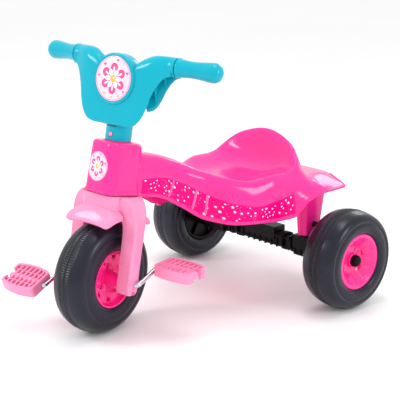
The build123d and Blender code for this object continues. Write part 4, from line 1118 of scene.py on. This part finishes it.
GRIP_FROM, GRIP_LONG, GRIP_BACK, GRIP_S = 106.0, 80.0, 14.0, 373.0
lean = degrees(atan2(GRIP_BACK, GRIP_LONG))
length = hypot(GRIP_LONG, GRIP_BACK)
for side, sign in SIDES.items():
    place = STEER @ Matrix.Translation((sign * GRIP_FROM, 0, GRIP_S)) @ turn(sign * lean, "Z")
    head = [(-12.0, 12.5), (-11.0, 15.4), (-8.0, 16.2), (-1.8, 16.4), (-0.9, 15.8), (-0.7, 14.2), (-0.7, 9.5),
            (length - 14, 9.3)]
    steered(f"arm_head_{side}", [on_side(lathe(head, 72), sign)], place=place)
    ring = [(0.4, 9.5), (0.4, 14.6), (0.9, 16.0), (2.4, 16.6)]
    waist = [(4.4, 16.4), (5.8, 15.4), (9.0, 14.9), (20.0, 13.9), (32.0, 13.8), (46.0, 14.8), (58.0, 16.1),
             (65.4, 16.5)]
    tip = [(length - 15.8 + 15.6 * sin(radians(t)), 16.5 * cos(radians(t)) + 0.05)
           for t in range(8, 90, 8)]
    body = [(p.x, p.y) for p in curve([(x, r, 0) for x, r in waist], 5)]
    sleeve = lathe(ring + body + tip + [(length - 0.2, 0.0)], 80)
    steered(f"grip_sleeve_{side}", [on_side(sleeve, sign)], replaces=[f"grip_{side}"], sharp=50, place=place)


# ---- badges
RIM_STEPS = 96


def around(n):
    return [2 * pi * k / n for k in range(n)]


def circle(cx, cy, r, n=28):
    return [(cx + r * cos(t), cy + r * sin(t)) for t in around(n)]


def petal(angle, start, length, width):
    """A petal's outline that points away from the middle, wider at its far end."""
    out = []
    for t in around(24):
        u = start + length / 2 - length / 2 * cos(t)
        v = width / 2 * sin(t) * (0.75 + 0.35 * (u - start) / length)
        a = radians(angle)
        out.append((u * cos(a) - v * sin(a), u * sin(a) + v * cos(a)))
    return out


def heart(cx, cy, size):
    out = []
    for t in around(26):
        x = 16 * sin(t) ** 3
        y = 13 * cos(t) - 5 * cos(2 * t) - 2 * cos(3 * t) - cos(4 * t)
        out.append((cx - size * x / 32, cy + size * y / 32))
    return out


def little_star(cx, cy, size):
    radii = [size * (1 if k % 2 == 0 else 0.45) for k in range(10)]
    return [(cx + r * sin(pi * k / 5), cy + r * cos(pi * k / 5)) for k, r in enumerate(radii)]


MOTIF = 29.5


def motif():
    """A plain flower with hearts and stars, as layers of (outline, ink, height step)."""
    layers = []
    for k in range(6):
        layers.append((petal(60 * k + 30, 4.0, 16.6, 12.4), DEEP_INK, 1))
        layers.append((petal(60 * k + 30, 5.0, 14.2, 9.8), PINK_INK, 2))
        layers.append((petal(60 * k + 30, 8.0, 8.0, 2.6), WHITE_INK, 3))
    for k in range(6):
        layers.append((petal(60 * k, 2.5, 10.8, 6.8), WHITE_INK, 4))
    layers.append((circle(0, 0, 4.6), GOLD_INK, 5))
    layers.append((circle(0.9, 0.9, 1.5, 16), WHITE_INK, 6))
    for x, y, s in ((-16, 17.5, 5.0), (5, 24.5, 4.6), (22.5, 9, 4.8), (-24.5, 2, 3.8), (19, -15.5, 3.6)):
        layers.append((heart(x, y, s), PINK_INK, 1))
    for x, y, s in ((-13, -20.5, 2.6), (0, -24.3, 2.2), (11.5, -21.5, 2.4), (-21, -11, 1.7),
                    (14.5, 20.5, 1.8)):
        layers.append((little_star(x, y, s), GOLD_INK, 1))
    return layers


def printed(outline, scale, ink, lift, wrap, pitch=2.0):
    """A flat outline cut into strips and laid on a surface through wrap(u, v, lift)."""
    work = bmesh.new()
    face = work.faces.new([work.verts.new((x * scale, y * scale, 0)) for x, y in outline])
    low = min(x for x, _ in outline) * scale
    high = max(x for x, _ in outline) * scale
    at = ceil(low / pitch) * pitch
    while at < high:
        geom = work.verts[:] + work.edges[:] + work.faces[:]
        bmesh.ops.bisect_plane(work, geom=geom, plane_co=(at, 0, 0), plane_no=(1, 0, 0), dist=1e-5)
        at += pitch
    work.verts.index_update()
    verts = [wrap(v.co.x, v.co.y, lift) for v in work.verts]
    faces = [tuple(v.index for v in f.verts) for f in work.faces]
    work.free()
    return verts, faces, ink


def rings(stations, ink, wrap):
    """A skin through circles of (radius, lift) on a wrapped surface."""
    return (*skin([[wrap(x, y, lift) for x, y in circle(0, 0, r, RIM_STEPS)] for r, lift in stations]), ink)


def disc(radius, depth, ink, wrap, base):
    """The sticker's own disc with a rolled edge."""
    stations = [(radius, base - depth), (radius, base - 0.12), (radius - 0.2, base), (0.66 * radius, base),
                (0.33 * radius, base), (0.02, base)]
    return rings(stations, ink, wrap)


def drum_wrap(u, v, lift):
    """A point on the drum's flat front."""
    return u, -31.2 - lift, DRUM_HEIGHT + v


def tower_wrap(u, v, lift):
    """A point on the tower's front at arc length u from its middle and height v, lifted off it."""
    s = TOWER_BADGE_HEIGHT + v
    half = tower_half(s)
    flat = half - TOWER_CORNER
    a = abs(u)
    if a <= flat:
        x, d = a, -half - lift
    else:
        t = (a - flat) / TOWER_CORNER
        r = TOWER_CORNER + lift
        x, d = flat + r * sin(t), -flat - r * cos(t)
    return copysign(x, u), d, s


def badge(radius, wrap, base):
    """A whole badge: the disc, a thin ring near its edge and the motif on top."""
    edge = [(0.97 * radius, base + 0.03), (0.945 * radius, base + 0.03)]
    parts = [disc(radius, 0.5, PALE_INK, wrap, base), rings(edge, PINK_INK, wrap)]
    scale = radius / MOTIF
    for outline, ink, step in motif():
        parts.append(printed(outline, scale, ink, base + 0.03 + 0.035 * step, wrap))
    return parts


piece("handlebar_badge_print", badge(37.5, drum_wrap, 0.75), STEER, "steering", BADGE_PRINT,
      ["handlebar_badge"], weld=False)
piece("tower_badge_print", badge(25.0, tower_wrap, 0.5), TOWER, "frame", BADGE_PRINT,
      ["tower_badge"], weld=False)

# ---- CAD parts that keep their own shape
COATS = {"crank_rod": STEEL, "hub_screws": HUB, "rear_axle": STEEL, "lock_spring": STEEL,
         "tower_bush_lower": BUSH, "tower_bush_upper": PINK, "lock_button": BUTTON}
for side in SIDES:
    COATS.update({f"axle_washer_{side}": STEEL, f"fork_bush_{side}": PALE, f"pedal_cap_{side}": PALE,
                  f"leg_bolt_{side}": BLACK})
for node, material in COATS.items():
    mesh = frame["nodes"][node].data
    mesh.materials.clear()
    mesh.materials.append(material)

# ---- floor, light and camera
floor_mesh = bpy.data.meshes.new("floor")
floor_mesh.from_pydata([(-9, -9, 0), (9, -9, 0), (9, 9, 0), (-9, 9, 0)], [], [(0, 1, 2, 3)])
floor = link(bpy.data.objects.new("floor", floor_mesh))
paper = finish("floor_paper", "FBFBFC", 0.6, sheen=0.01, scuff=0.0, patch=1.2, specular=0.15)
floor_mesh.materials.append(paper)

world = bpy.data.worlds.new("studio")
bpy.context.scene.world = world
world.use_nodes = True
background = world.node_tree.nodes["Background"]
background.inputs["Color"].default_value = (1, 1, 1, 1)
background.inputs["Strength"].default_value = 1.0


def lamp(name, spot, aim, width, height, power):
    """A soft box that looks at a point."""
    data = bpy.data.lights.new(name, "AREA")
    data.shape = "RECTANGLE"
    data.size, data.size_y, data.energy = width, height, power
    made = link(bpy.data.objects.new(name, data))
    made.location = spot
    made.rotation_euler = (Vector(aim) - Vector(spot)).to_track_quat("-Z", "Y").to_euler()


lamp("key", (-0.9, -1.6, 1.5), (0, 0, 0.2), 0.55, 0.55, 14)
lamp("side", (1.9, 0.5, 1.1), (0, 0, 0.2), 0.4, 0.8, 10)
lamp("top", (0.1, 0.2, 2.2), (0, 0, 0.2), 1.0, 0.6, 9)
lamp("rim", (-0.6, 1.9, 1.2), (0, 0, 0.25), 0.5, 0.5, 3.5)

eye = bpy.data.cameras.new("camera")
eye.lens = 96.78
eye.sensor_width = 36.0
camera = link(bpy.data.objects.new("camera", eye))
camera.location = (1.41517, -1.252975, 0.72116)
azimuth, elevation = radians(47.55), radians(15.40)
camera.rotation_euler = (pi / 2 - elevation, 0, azimuth)
bpy.context.scene.camera = camera
bpy.context.scene.view_settings.view_transform = "Standard"

bpy.context.view_layer.update()
